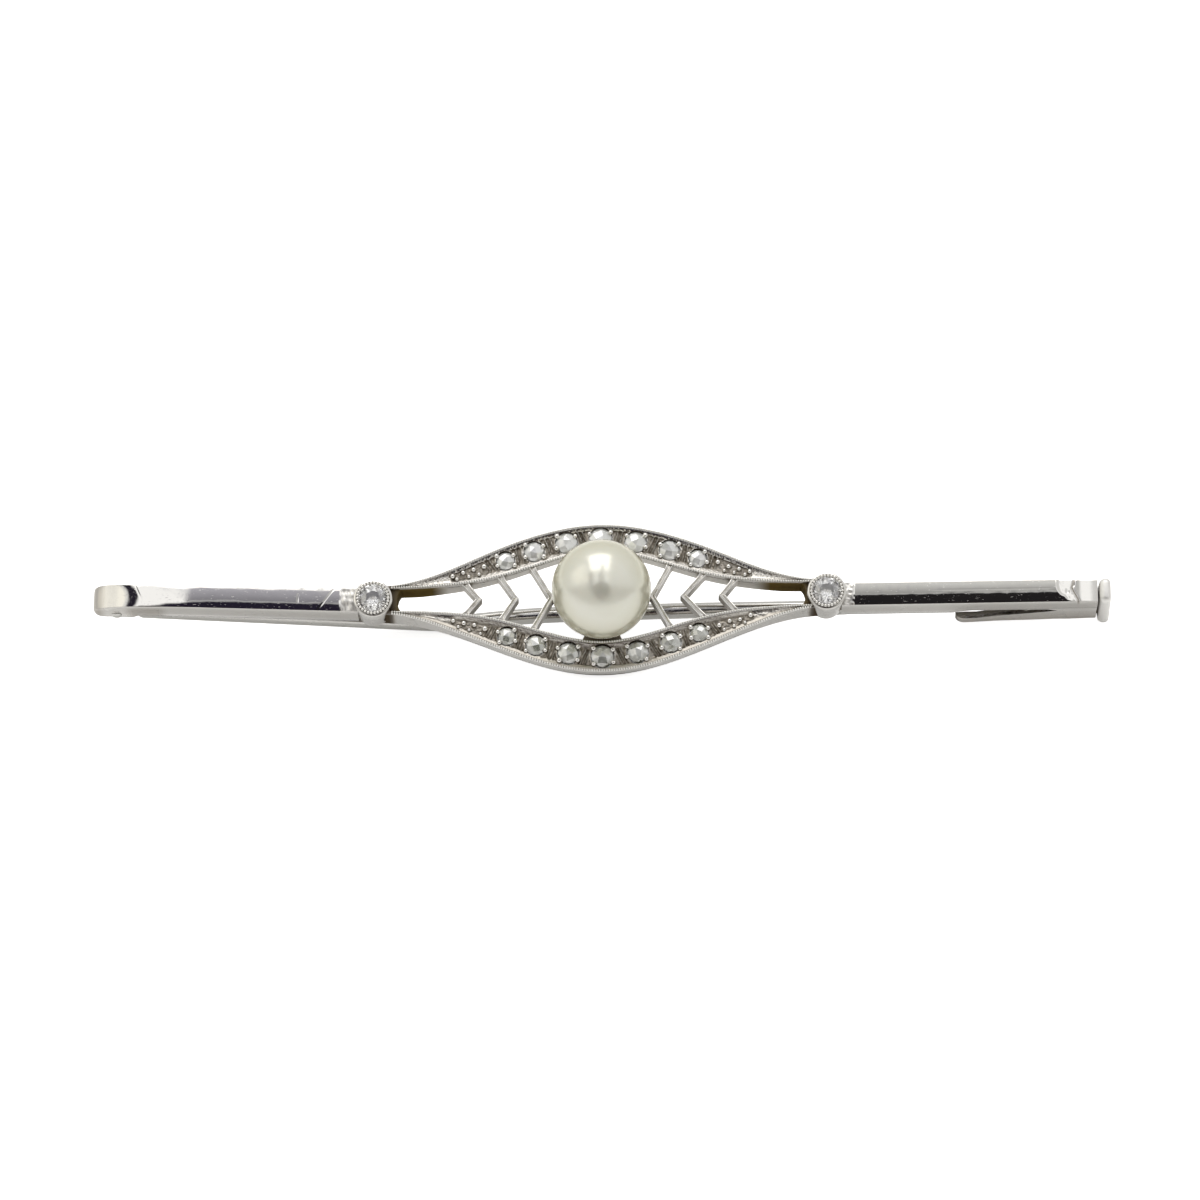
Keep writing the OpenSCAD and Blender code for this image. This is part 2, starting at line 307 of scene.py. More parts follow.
# an effect that several finishes share: its inputs are numbers, vectors ("place") or colours
def groupOf(name, inputs, outputs):
    kinds = {"number": "NodeSocketFloat", "place": "NodeSocketVector", "colour": "NodeSocketColor"}
    tree = bpy.data.node_groups.new(name, "ShaderNodeTree")
    for label, kind in inputs:
        tree.interface.new_socket(label, in_out="INPUT", socket_type=kinds[kind])
    for label, kind in outputs:
        tree.interface.new_socket(label, in_out="OUTPUT", socket_type=kinds[kind])
    into, out = tree.nodes.new("NodeGroupInput"), tree.nodes.new("NodeGroupOutput")
    return tree, into.outputs, out.inputs


def placed(tree, group, **values):
    made = tree.nodes.new("ShaderNodeGroup")
    made.node_tree = group
    for key, value in values.items():
        feed(tree, made.inputs[key], value)
    return made.outputs


# hair scratches in several directions, small flecks and a soft ripple, as a mask and as a height
scratchShape = {
    "stretch": (3600, 24000, 6000), "ripple": 2600, "fleck": 9000, "fleckLimit": 0.71,
    "lines": [(9, 1.0, 0.0, 0.74), (-24, 0.8, 3.7, 0.73), (47, 1.2, 7.1, 0.72), (-58, 1.0, 11.3, 0.73),
              (78, 1.1, 5.2, 0.74)],
}


def scratchGroup():
    s = scratchShape
    tree, given, out = groupOf(
        "fineScratches", [("Vector", "place"), ("Amount", "number"), ("Flecks", "number"), ("Ripple", "number")],
        [("Mask", "number"), ("Height", "number")])
    flecks = calc(tree, "SUBTRACT", noiseAt(tree, given["Vector"], s["fleck"], 1.0), s["fleckLimit"])
    total = product(tree, product(tree, flecks, 12.0, True), given["Flecks"])
    for turn, fine, seed, limit in s["lines"]:
        mapping = node(tree, "ShaderNodeMapping")
        mapping.inputs["Rotation"].default_value = (0, 0, math.radians(turn))
        mapping.inputs["Location"].default_value = (seed, seed, 0)
        mapping.inputs["Scale"].default_value = tuple(v * fine for v in s["stretch"])
        tree.links.new(given["Vector"], mapping.inputs["Vector"])
        edge = calc(tree, "SUBTRACT", limit + 0.08, product(tree, given["Amount"], 0.13))
        over = calc(tree, "SUBTRACT", noiseAt(tree, mapping.outputs["Vector"], 1.0, 0.0), edge)
        total = calc(tree, "MAXIMUM", total, product(tree, over, 14.0, True))
    tree.links.new(total, out["Mask"])
    ripple = product(tree, noiseAt(tree, given["Vector"], s["ripple"]), given["Ripple"])
    tree.links.new(calc(tree, "SUBTRACT", ripple, total), out["Height"])
    return tree


# cloudy film of tarnish, as a mask
def tarnishGroup():
    tree, given, out = groupOf("tarnishClouds", [("Vector", "place"), ("Scale", "number"), ("Amount", "number")],
                               [("Mask", "number")])
    low = calc(tree, "SUBTRACT", 0.72, product(tree, given["Amount"], 0.4))
    clouds = calc(tree, "SUBTRACT", noiseAt(tree, given["Vector"], given["Scale"], 5.0, 0.62), low)
    tree.links.new(product(tree, clouds, 4.5, True), out["Mask"])
    return tree


# dirt of a sunk place and painted shade: Hollow says how sunk or shaded it is, near 1 the stain turns to near-black
# grime and painted shade, and Dull is rubbed metal
def stainAndShadeGroup():
    tree, given, out = groupOf(
        "stainedAndShadedHollows",
        [("Colour", "colour"), ("Roughness", "number"), ("Clouds", "number"), ("Hollow", "number"),
         ("Dull", "number"), ("Stain", "colour"), ("Grime", "colour"), ("DullRoughness", "number")],
        [("Colour", "colour"), ("Roughness", "number")])
    stain = product(tree, given["Hollow"], remap(tree, given["Clouds"], 0.0, 1.0, 0.8, 1.0))
    dirtAndShade = mixColour(tree, remap(tree, given["Hollow"], 0.82, 1.0), given["Stain"], given["Grime"])
    tree.links.new(mixColour(tree, stain, given["Colour"], dirtAndShade), out["Colour"])
    rough = remap(tree, stain, 0.0, 1.0, given["Roughness"], given["DullRoughness"])
    tree.links.new(remap(tree, given["Dull"], 0.0, 1.0, rough, given["DullRoughness"]), out["Roughness"])
    return tree


# tarnish and painted shade in tight corners: Openness says how much light reaches them, StainFrom and GrimeFrom where
# each darkening starts
def cornerDirtAndShadeGroup():
    tree, given, out = groupOf(
        "dirtAndShadeInCorners",
        [("Colour", "colour"), ("Roughness", "number"), ("Clouds", "number"), ("Openness", "number"),
         ("StainFrom", "number"), ("GrimeFrom", "number"), ("Stain", "colour"), ("Grime", "colour"),
         ("GrimeRoughness", "number")],
        [("Colour", "colour"), ("Roughness", "number"), ("Metal", "number")])
    patchy = product(tree, calc(tree, "SUBTRACT", given["Clouds"], 0.35), 0.18)
    closed = calc(tree, "ADD", calc(tree, "SUBTRACT", 1.0, given["Openness"]), patchy)
    warm = remap(tree, closed, given["StainFrom"], calc(tree, "ADD", given["StainFrom"], 0.3), 0.0, 0.75)
    deep = remap(tree, closed, given["GrimeFrom"], calc(tree, "ADD", given["GrimeFrom"], 0.25), 0.0, 0.92)
    colour = mixColour(tree, warm, given["Colour"], given["Stain"])
    tree.links.new(mixColour(tree, deep, colour, given["Grime"]), out["Colour"])
    tree.links.new(remap(tree, deep, 0.0, 1.0, given["Roughness"], given["GrimeRoughness"]), out["Roughness"])
    tree.links.new(remap(tree, deep, 0.0, 1.0, 1.0, 0.1), out["Metal"])
    return tree


# layers of nacre or the clouds inside an old stone
def milkGroup():
    tree, given, out = groupOf(
        "milkyLayers",
        [("Vector", "place"), ("Scale", "number"), ("From", "number"), ("To", "number"), ("Colour", "colour"),
         ("Paler", "colour")],
        [("Colour", "colour"), ("Mask", "number"), ("Height", "number")])
    noise = noiseAt(tree, given["Vector"], given["Scale"])
    mask = remap(tree, noise, given["From"], given["To"])
    tree.links.new(mixColour(tree, mask, given["Colour"], given["Paler"]), out["Colour"])
    tree.links.new(mask, out["Mask"])
    tree.links.new(noise, out["Height"])
    return tree


scratches, tarnish, stainsAndShade, corners, milk = (make() for make in (
    scratchGroup, tarnishGroup, stainAndShadeGroup, cornerDirtAndShadeGroup, milkGroup))

metalColours = {
    "tarnish": (0.21, 0.175, 0.13), "grimeAndShade": (0.05, 0.036, 0.02), "goldDirt": (0.15, 0.10, 0.014),
    "scratchRoughness": 0.4, "dullRoughness": 0.42, "grimeRoughness": 0.6, "goldRoughness": 0.5,
    "filmShare": 0.6, "filmRoughness": 0.22, "roughest": 0.75,
}

# finish of each kind of metal: film is the share of tarnish and filmScale its size, wear and flecks the scratches,
# crevice the reach in mm and the two limits of the tarnish and painted shade in corners, hollow the dirt and painted
# shade of sunk places, golden the stretch near the collets, in mm from the middle, that has old polish left in it,
# with painted shade at its far end
whiteGold, paleGold = (0.72, 0.705, 0.675), (0.79, 0.78, 0.755)
metalFinish = {
    "plateMetal": dict(base=paleGold, roughness=0.5, film=0.1, filmScale=600, wear=0.3, flecks=0.3, bumpDepth=0.0015,
                       wave=2.0),
    "catchMetal": dict(base=whiteGold, roughness=0.15, film=0.16, filmScale=600, wear=0.25, flecks=0.3,
                       bumpDepth=0.0012, wave=2.0, crevice=(0.5, 0.3, 0.5), hollow=True),
    "polishedBars": dict(base=whiteGold, roughness=0.06, film=0.0, filmScale=260, wear=0.04, flecks=0.05,
                         bumpDepth=0.0007, wave=2.0, hollow=True),
    "frameMetal": dict(base=whiteGold, roughness=0.17, film=0.3, filmScale=1500, wear=0.3, flecks=0.3,
                       bumpDepth=0.002, wave=2.0, crevice=(0.35, 0.14, 0.34), hollow=True,
                       golden={"from": 9.3, "to": 10.3, "shadeFrom": 12.0, "shadeTo": 12.7, "inside": 0.95}),
    "beadMetal": dict(base=(0.8, 0.785, 0.755), roughness=0.12, film=0.12, filmScale=1400, wear=0.0, flecks=0.0,
                      bumpDepth=0.001, wave=0.8, crevice=(0.16, 0.4, 0.62)),
    "beadedEdges": dict(base=(0.84, 0.83, 0.80), roughness=0.3, film=0.12, filmScale=1400, wear=0.0, flecks=0.0,
                        bumpDepth=0.001, wave=0.8, crevice=(0.16, 0.5, 0.72)),
    "colletMetal": dict(base=whiteGold, roughness=0.17, film=0.22, filmScale=900, wear=0.3, flecks=0.3,
                        bumpDepth=0.0015, wave=2.0, crevice=(0.2, 0.35, 0.6), hollow=True),
    "pinMetal": dict(base=(0.57, 0.56, 0.535), roughness=0.13, film=0.15, filmScale=500, wear=0.3, flecks=0.3,
                     bumpDepth=0.0012, wave=1.5, crevice=(0.5, 0.45, 0.7)),
    "foilUnderStones": dict(base=(0.86, 0.86, 0.84), roughness=0.22, film=0.1, filmScale=900, wear=0.2, flecks=0.0,
                            bumpDepth=0.004, wave=1.5),
}


# old yellow polish on the inner walls near the collets, with painted shade at its far end, where the arms meet the
# collets
def oldPolish(tree, vector, clouds, colour, rough, golden):
    m = metalColours
    split = node(tree, "ShaderNodeSeparateXYZ")
    tree.links.new(vector, split.inputs[0])
    x, y = calc(tree, "ABSOLUTE", split.outputs["X"]), calc(tree, "ABSOLUTE", split.outputs["Y"])
    near = remap(tree, x, golden["from"] * mm, golden["to"] * mm)
    # painted shade at the far end, where the arms meet the collets
    end = remap(tree, x, golden["shadeFrom"] * mm, golden["shadeTo"] * mm)
    end = calc(tree, "MAXIMUM", end, product(tree, clouds, 0.4))
    inside = remap(tree, y, golden["inside"] * mm, (golden["inside"] - 0.05) * mm)
    below = remap(tree, split.outputs["Z"], -0.06 * mm, -0.25 * mm)
    dirtAndShade = product(tree, product(tree, near, inside), below)
    dirtAndShade = product(tree, dirtAndShade, remap(tree, clouds, 0.0, 1.0, 0.95, 1.0))
    colour = mixColour(tree, dirtAndShade, colour, mixColour(tree, end, m["goldDirt"], m["grimeAndShade"]))
    return colour, remap(tree, dirtAndShade, 0.0, 1.0, rough, m["goldRoughness"]), remap(tree, dirtAndShade, 0.0, 1.0, 1.0, 0.03)


def metal(name, base, roughness, film, filmScale, wear, flecks, bumpDepth, wave, crevice=None, golden=None,
          hollow=False):
    m = metalColours
    material, tree, shader = newMaterial(name)
    vector = broochVector(tree)
    lines = placed(tree, scratches, Vector=vector, Amount=wear, Flecks=flecks, Ripple=wave)
    clouds = placed(tree, tarnish, Vector=vector, Scale=filmScale, Amount=film)["Mask"]
    colour = mixColour(tree, product(tree, clouds, m["filmShare"], True), base, m["tarnish"])
    rough = remap(tree, clouds, 0.0, 1.0, roughness, min(roughness + m["filmRoughness"], m["roughest"]))
    rough = remap(tree, lines["Mask"], 0.0, 1.0, rough, m["scratchRoughness"])
    metallic = 1.0
    if hollow:
        # the hollow attribute holds real stains and also painted shade, such as under the pearl and inside the catch
        sunk, dull = (node(tree, "ShaderNodeAttribute", attribute_name=key).outputs["Fac"]
                      for key in ("hollow", "dull"))
        dirtyAndShaded = placed(tree, stainsAndShade, Colour=colour, Roughness=rough, Clouds=clouds, Hollow=sunk, Dull=dull,
                       Stain=m["tarnish"], Grime=m["grimeAndShade"], DullRoughness=m["dullRoughness"])
        colour, rough = dirtyAndShaded["Colour"], dirtyAndShaded["Roughness"]
    if crevice:
        reach, stainFrom, grimeFrom = crevice
        # ambient occlusion darkens tight corners: tarnish together with painted shade
        around = node(tree, "ShaderNodeAmbientOcclusion", samples=6)
        around.inputs["Distance"].default_value = reach * mm
        dirtyAndShaded = placed(tree, corners, Colour=colour, Roughness=rough, Clouds=clouds, Openness=around.outputs["AO"],
                       StainFrom=stainFrom, GrimeFrom=grimeFrom, Stain=m["tarnish"], Grime=m["grimeAndShade"],
                       GrimeRoughness=m["grimeRoughness"])
        colour, rough, metallic = dirtyAndShaded["Colour"], dirtyAndShaded["Roughness"], dirtyAndShaded["Metal"]
    if golden:
        colour, rough, clean = oldPolish(tree, vector, clouds, colour, rough, golden)
        metallic = product(tree, metallic, clean)
    feed(tree, shader.inputs["Base Color"], colour)
    feed(tree, shader.inputs["Roughness"], rough)
    feed(tree, shader.inputs["Metallic"], metallic)
    shader.inputs["Specular IOR Level"].default_value = 0.0
    bumpInto(tree, shader, lines["Height"], bumpDepth)
    return material


metals = {name: metal(name, **finish) for name, finish in metalFinish.items()}

# the rim colour is a painted sheen: where the pearl is seen at a slant, at its edge, it turns darker and greener
pearlFinish = {
    "cream": (0.71, 0.705, 0.60), "paler": (0.755, 0.745, 0.665), "rim": (0.47, 0.44, 0.25),
    "layerScale": 500, "layerFrom": 0.15, "layerTo": 0.85, "rimBlend": 0.42, "rimFrom": 0.17, "rimTo": 0.92,
    "metallic": 0.38, "roughness": 0.24, "unevenness": 0.03, "bumpDepth": 0.008, "bumpStrength": 0.6,
    "depth": 0.3, "depthRadius": (0.0012, 0.001, 0.0008), "depthScale": 0.6,
    "coat": 0.9, "coatRoughness": 0.19, "coatIor": 1.9,
}


def pearlMaterial(name):
    f = pearlFinish
    material, tree, shader = newMaterial(name)
    layers = placed(tree, milk, Vector=broochVector(tree), Scale=f["layerScale"], From=f["layerFrom"], To=f["layerTo"],
                    Colour=f["cream"], Paler=f["paler"])
    # painted sheen: the face seen at a slant takes the darker, greener rim colour
    facing = node(tree, "ShaderNodeLayerWeight")
    facing.inputs["Blend"].default_value = f["rimBlend"]
    rim = remap(tree, facing.outputs["Facing"], f["rimFrom"], f["rimTo"])
    feed(tree, shader.inputs["Base Color"], mixColour(tree, rim, layers["Colour"], f["rim"]))
    low, high = f["roughness"] - f["unevenness"], f["roughness"] + f["unevenness"]
    feed(tree, shader.inputs["Roughness"], remap(tree, layers["Mask"], 0.0, 1.0, low, high))
    for key, value in (("Metallic", "metallic"), ("Subsurface Weight", "depth"), ("Subsurface Radius", "depthRadius"),
                       ("Subsurface Scale", "depthScale"), ("Coat Weight", "coat"), ("Coat IOR", "coatIor"),
                       ("Coat Roughness", "coatRoughness")):
        shader.inputs[key].default_value = f[value]
    bumpInto(tree, shader, layers["Height"], f["bumpDepth"], f["bumpStrength"])
    return material


# old stones are a little milky, so part of their light is scattered back; face is the index of the surface gloss
stoneVeil = {"Scale": 1100, "From": 0.4, "To": 0.6}
stoneFinish = {
    "roseDiamond": dict(
        tint=(0.80, 0.81, 0.76), paler=(0.99, 0.99, 0.98), clear=0.4, roughness=0.05, ior=1.8, face=3.3),
    "greyRoseDiamond": dict(tint=(0.38, 0.39, 0.32), paler=(0.86, 0.865, 0.82), clear=0.42, roughness=0.05, ior=1.8,
                            face=3.3),
    "oldCutDiamond": dict(tint=(0.97, 0.965, 0.95), paler=(0.99, 0.99, 0.985), clear=0.9, roughness=0.01, ior=2.4,
                          face=1.6),
}


def diamondMaterial(name, tint, paler, clear, roughness, ior, face):
    material, tree, shader = newMaterial(name)
    veil = placed(tree, milk, Vector=broochVector(tree), Colour=tint, Paler=paler, **stoneVeil)
    feed(tree, shader.inputs["Base Color"], veil["Colour"])
    feed(tree, shader.inputs["Roughness"], remap(tree, veil["Mask"], 0.0, 1.0, roughness * 0.4, roughness))
    for key, value in (("Metallic", 0.0), ("Transmission Weight", clear), ("IOR", ior), ("Coat Weight", 1.0),
                       ("Coat Roughness", 0.02), ("Coat IOR", face)):
        shader.inputs[key].default_value = value
    return material


pearlLook = pearlMaterial("pearlNacre")
stones = {name: diamondMaterial(name, **finish) for name, finish in stoneFinish.items()}
print("brooch: materials ready")

# marquise frame: two arms with sunk channels. Places are mm from the middle, slopes are width and fall, a spread is
# how far an arm's face stands out past its back, waves are height, size and seed, and the stain entries are shares of
# dirt, or of painted shade towards the solder at the collets, with the places they fade between
frameShape = {
    "halfWidth": restPose["frameHalfWidth"], "tipHalfWidth": 0.85, "reach": 14.0, "armEnd": 13.2,
    "openHalfWidth": 2.8, "openTipHalfWidth": 0.68, "openSpread": 5.7,
    "depth": restPose["frameDepth"], "innerDepth": 0.98, "endDepth": 2.0, "innerDepthEnd": 11.0,
    "rimWidth": 0.18, "edge": 0.05, "outerSlope": (0.17, 0.07), "innerSlope": (0.27, 0.16), "slopeFade": (11.8, 12.9),
    "wall": 0.05, "channelDepth": 0.19, "channelFade": (8.7, 9.6),
    "upperSpread": (0.13, 6.6, 3.2), "lowerSpread": (0.17, 9.0, 12.5),
    "floorWaves": [(0.012, 0.3, 0), (0.007, 0.13, 40)], "slopeWaves": [(0.009, 0.22, 90), (0.005, 0.12, 91)],
    "columns": 900, "across": 64,
    "channelStain": 0.88, "channelStainFade": (8.9, 9.7), "slopeStain": 0.45, "slopeStainFade": (9.5, 11.5),
    "lowerSlopeStain": 0.75, "endStain": 0.4, "endStainFrom": (8.7, 9.4), "solderShadeFrom": (12.4, 12.8),
    "outerStain": 0.1, "innerStain": 0.62,
}
bandStones = [(-5.8, 0.55), (-4.05, 0.62), (-2.08, 0.66), (0.0, 0.7), (2.14, 0.66), (4.18, 0.62), (5.9, 0.55)]


def outerHalf(x):
    f = frameShape
    return f["tipHalfWidth"] + (f["halfWidth"] - f["tipHalfWidth"]) * (1 + np.cos(np.pi * x / f["reach"])) / 2


def innerHalf(x):
    f = frameShape
    return f["openTipHalfWidth"] + (f["openHalfWidth"] - f["openTipHalfWidth"]) * np.exp(-(x / f["openSpread"]) ** 2)


def bandMiddle(x):
    return (outerHalf(x) + innerHalf(x)) / 2


def frameDepth(x):
    f = frameShape
    return f["depth"] + (f["endDepth"] - f["depth"]) * (x / f["armEnd"]) ** 2


def smooth(low, high, value):
    t = np.clip((value - low) / (high - low), 0.0, 1.0)
    return t * t * (3 - 2 * t)


# an arm's face is a little wider than its back, so that its outer wall leans in
def faceSpread(x, side):
    if side > 0:
        most, at, reach = frameShape["upperSpread"]
        return most * np.exp(-((np.abs(x) - at) / reach) ** 2)
    most, start, end = frameShape["lowerSpread"]
    return most * (1 - smooth(start, end, np.abs(x)))


def spreadOut(x, y, side):
    return y + faceSpread(x, side) * (y - innerHalf(x)) / (outerHalf(x) - innerHalf(x))


# smooth random waves, the same on every run
def waves(x, y, size, seed, layers=7):
    draw = np.random.default_rng(seed)
    total = 0
    for _ in range(layers):
        a, phase = draw.uniform(0, 2 * np.pi, 2)
        pace = draw.uniform(0.6, 1.6) * 2 * np.pi / size
        total = total + np.sin(pace * (x * np.cos(a) + y * np.sin(a)) + phase)
    return total / math.sqrt(layers)


def wavesOf(rows, x, y, seed):
    return sum(high * waves(x, y, size, seed + more) for high, size, more in rows)


# seats of the stones and the graver's strokes between them
seatShape = {
    "room": 0.02, "collar": 0.1, "collarHeight": -0.08, "collarWaves": [(0.035, 4, 1), (0.015, 11, -1)],
    "wellDepth": 0.5, "lastStrokes": [-6.75, 6.85], "strokes": 3, "strokeStep": 0.15, "strokeWidth": 0.085,
    "strokeReach": 0.36, "strokeLean": 0.45, "strokeDepth": 0.04, "ridgeHeight": 0.13,
}


def cutStrokes(floor, x, y, mask, seed):
    s = seatShape
    width = outerHalf(x) - innerHalf(x)
    draw = np.random.default_rng(seed + 7)
    for middle in [(a[0] + b[0]) / 2 for a, b in zip(bandStones, bandStones[1:])] + s["lastStrokes"]:
        lean = s["strokeLean"] * (1 if middle > 0 else -1) + draw.uniform(-0.25, 0.25)
        for k in range(s["strokes"]):
            at = middle + (k - 1) * s["strokeStep"] + draw.uniform(-0.02, 0.02)
            off = y - bandMiddle(at)
            across = np.abs((x - at) * np.cos(lean) - off * np.sin(lean))
            stroke = np.clip(1 - across / s["strokeWidth"], 0, 1)
            stroke = stroke * (1 - smooth(0.75, 1.0, np.abs(off / (s["strokeReach"] * width))))
            lift = s["ridgeHeight"] * draw.uniform(0.75, 1.1) if k != 1 else -s["strokeDepth"]
            floor = floor + lift * stroke * mask
    return floor


def sinkSeats(floor, x, y, mask, seed):
    s = seatShape
    for i, (at, r) in enumerate(bandStones):
        dx, dy = x - at, y - bandMiddle(at)
        away, angle = np.hypot(dx, dy), np.arctan2(dy, dx)
        collar = s["collarHeight"]
        for high, count, way in s["collarWaves"]:
            collar = collar + high * np.sin(count * angle + way * (0.6 * i + seed))
        ridge = np.exp(-((away - r - 0.04) / s["collar"]) ** 2)
        lifted = floor + np.maximum(collar - floor, 0) * ridge * mask
        floor = np.where(away < r + 3 * s["collar"], lifted, floor)
        floor = np.where(away < r + s["room"], -s["wellDepth"], floor)
    return floor


# height of an arm's face: raised edges, sloping sides, the uneven floor of the channel, strokes and seats
def armHeight(x, y, seed):
    f = frameShape
    out, inn = outerHalf(x), innerHalf(x)
    width = out - inn
    rim = np.minimum(f["rimWidth"], 0.25 * width)
    fromEdge = np.minimum(out - y, y - inn)
    outside = out - y < y - inn
    slope = np.minimum(np.where(outside, f["outerSlope"][0], f["innerSlope"][0]), 0.16 * width)
    fall = np.where(outside, f["outerSlope"][1], f["innerSlope"][1])
    inChannel = 1 - smooth(*f["channelFade"], np.abs(x))
    inSlope = 1 - smooth(*f["slopeFade"], np.abs(x))
    ramp = np.clip((fromEdge - rim) / slope, 0, 1)
    inBand = smooth(rim + slope - 0.01, rim + slope + f["wall"], fromEdge)
    depth = np.maximum(fall * inChannel, 0.06 * inSlope) * ramp + (f["channelDepth"] - fall) * inChannel * inBand
    floor = -depth
    floor = floor + inBand * inChannel * wavesOf(f["floorWaves"], x, y, seed)
    floor = floor + ramp * wavesOf(f["slopeWaves"], x, y, seed)
    floor = cutStrokes(floor, x, y, inBand * inChannel, seed)
    floor = sinkSeats(floor, x, y, inBand, seed)
    bend = np.clip(1 - fromEdge / f["edge"], 0, 1)
    return floor - f["edge"] * (1 - np.sqrt(np.clip(1 - bend * bend, 0, 1)))


# an arm's points darkened: dirt in the channel and on its slopes, the walls darker further down, and painted shade
# towards the solder at the collets
def armStain(x, y, z, side):
    f = frameShape
    along, y = np.abs(x), side * y
    inn, out, middle = innerHalf(x), outerHalf(x), bandMiddle(x)
    own = inn + (y - inn) / (1 + faceSpread(x, side) / (out - inn))
    fromEdge = np.minimum(np.where(z < -0.25, out - y, out - own), y - inn)
    stain = f["channelStain"] * smooth(0.07, 0.14, -z) * smooth(0.12, 0.2, fromEdge) * (z > -f["depth"] * 0.5)
    stain = stain * (1 - smooth(*f["channelStainFade"], along))
    slope = f["slopeStain"] * smooth(0.14, 0.2, fromEdge) * (y < middle)
    stain = np.maximum(stain, slope * (1 - smooth(*f["slopeStainFade"], along)))
    if side < 0:
        stain = np.maximum(stain, f["lowerSlopeStain"] * smooth(0.1, 0.15, fromEdge) * (own > middle) * (z > -0.25))
    stain = np.maximum(stain, f["endStain"] * smooth(0.1, 0.16, fromEdge) * smooth(*f["endStainFrom"], along))
    # painted shade where the arm meets the collet
    stain = np.maximum(stain, smooth(*f["solderShadeFrom"], along))
    walls = smooth(0.1, 0.3, -z) * (fromEdge < 0.06)
    return np.maximum(stain, walls * np.where(y > middle, f["outerStain"], f["innerStain"]))


def makeArm(name, side, seed):
    f = frameShape
    across = np.linspace(0, 1, f["across"])
    across = 0.35 * ((1 - np.cos(np.pi * across)) / 2) + 0.65 * across
    rings = []
    for x in np.linspace(-f["armEnd"], f["armEnd"], f["columns"] + 1):
        out, inn, deep, e = outerHalf(x), innerHalf(x), frameDepth(x), f["edge"]
        low = f["innerDepth"] + (f["endDepth"] - f["innerDepth"]) * min((x / f["innerDepthEnd"]) ** 2, 1.0)
        ys = out + (inn - out) * across
        zs = armHeight(np.full_like(ys, x), ys, seed)
        wide = float(faceSpread(x, side))
        back = [(inn, -0.35 * low), (inn, -0.7 * low), (inn, -low + e), (inn + e, -low), (out - e, -deep),
                (out, -deep + e), (out + 0.3 * wide, -0.7 * deep), (out + 0.65 * wide, -0.35 * deep)]
        rings.append([(x, side * y, z) for y, z in [*zip(spreadOut(x, ys, side), zs), *back]])
    arm = loft(name, rings)
    keepOnPoints(arm, "hollow", armStain(*pointsOf(arm), side))
    return settled(arm, metals["frameMetal"], "brooch", 38)


sides = ((1, "upper"), (-1, "lower"))
armSeeds = {"upper": 3, "lower": 8}
for side, word in sides:
    makeArm(word + "_arm", side, armSeeds[word])

# beaded edges of the arms
edgeBeads = {"radius": 0.074, "pitch": 0.15, "inset": 0.075, "end": 12.75, "height": -0.005, "step": 0.01}


def insetAt(x):
    return min(edgeBeads["inset"], 0.27 * (outerHalf(x) - innerHalf(x)))


def beadLine(curve, side):
    b = edgeBeads
    spots, last, x = [], None, -b["end"]
    while x < b["end"]:
        point = Vector((x, side * float(spreadOut(x, curve(x), side)), b["height"]))
        if last is None or (point - last).length >= b["pitch"]:
            r = b["radius"] * (1 + 0.08 * math.sin(37.0 * x))
            spots.append((tuple(point), (r, r, b["radius"])))
            last = point
        x += b["step"]
    return spots


for side, word in sides:
    line = beadLine(lambda x: outerHalf(x) - insetAt(x), side) + beadLine(lambda x: innerHalf(x) + insetAt(x), side)
    settled(beadMesh(word + "_beaded_edges", line), metals["beadedEdges"], "brooch", 180)
print("brooch: frame arms and beaded edges")

# chevron plates in the opening: each is a pair of legs from a point to two feet on the arms
chevronShape = {
    "width": 0.3, "depth": 1.15, "foot": 0.12, "flare": 0.45, "flareFrom": 0.22, "worn": 0.008, "stain": 0.85,
    "left": [(3.05, 4.17), (5.22, 6.12), (7.46, 8.27)], "right": [(3.1, 4.17), (5.0, 6.2), (7.32, 8.12)],
    "edge": [(1.0, -0.08), (0.92, -0.04), (0.72, -0.035), (0.5, -0.07)], "valley": (0.0, -0.1),
}


def makeChevron(name, point, foot, side):
    c = chevronShape
    innerY = innerHalf(foot)
    footY = innerY + c["foot"]
    foot = point + (foot - point) * footY / innerY
    slant = c["width"] * math.hypot(foot - point, footY) / footY / 2
    half = [(1.0, -c["depth"]), (1.0, -0.6), (1.0, -0.25), *c["edge"]]
    section = [(-off, z) for off, z in half] + [c["valley"]] + half[::-1]
    rings = []
    for y in np.linspace(footY, -footY, 49):
        along = point + (foot - point) * abs(y) / footY
        wide = slant * (1 + c["flare"] * float(smooth(innerY - c["flareFrom"], footY, abs(y))))
        worn = c["worn"] * math.sin(9 * y + foot)
        rings.append([(side * (along + off * wide), y, z + (worn if z > -0.2 else 0)) for off, z in section])
    made = loft(name, rings)
    keepOnPoints(made, "hollow", c["stain"] * smooth(0.06, 0.2, -pointsOf(made)[2]))
    return settled(made, metals["frameMetal"], "brooch", 40)


for side, word in ((-1, "left"), (1, "right")):
    for number, (point, foot) in enumerate(chevronShape[word], 1):
        makeChevron(f"{word}_chevron_{number}", point, foot, side)

# pearl, its cup on a strut, and the dark plate that bridges the gap to the lower arm, painted shade under the pearl
pearlShape = {
    "radius": restPose["pearlRadius"], "height": restPose["pearlHeight"],
    "rings": 96, "segments": 128, "inside": 0.9985,
    "cupRadius": 1.9, "cupBottom": 1.95, "strutReach": 2.9, "strutHalf": 0.15, "strutHeights": (-1.45, -0.7),
    "bridge": [(-1.35, -2.9), (1.35, -2.9), (1.05, -2.3), (0.85, -1.3), (-0.85, -1.3), (-1.05, -2.3)],
    "bridgeHeights": (-1.1, -0.3), "bridgeShade": 0.96,
}


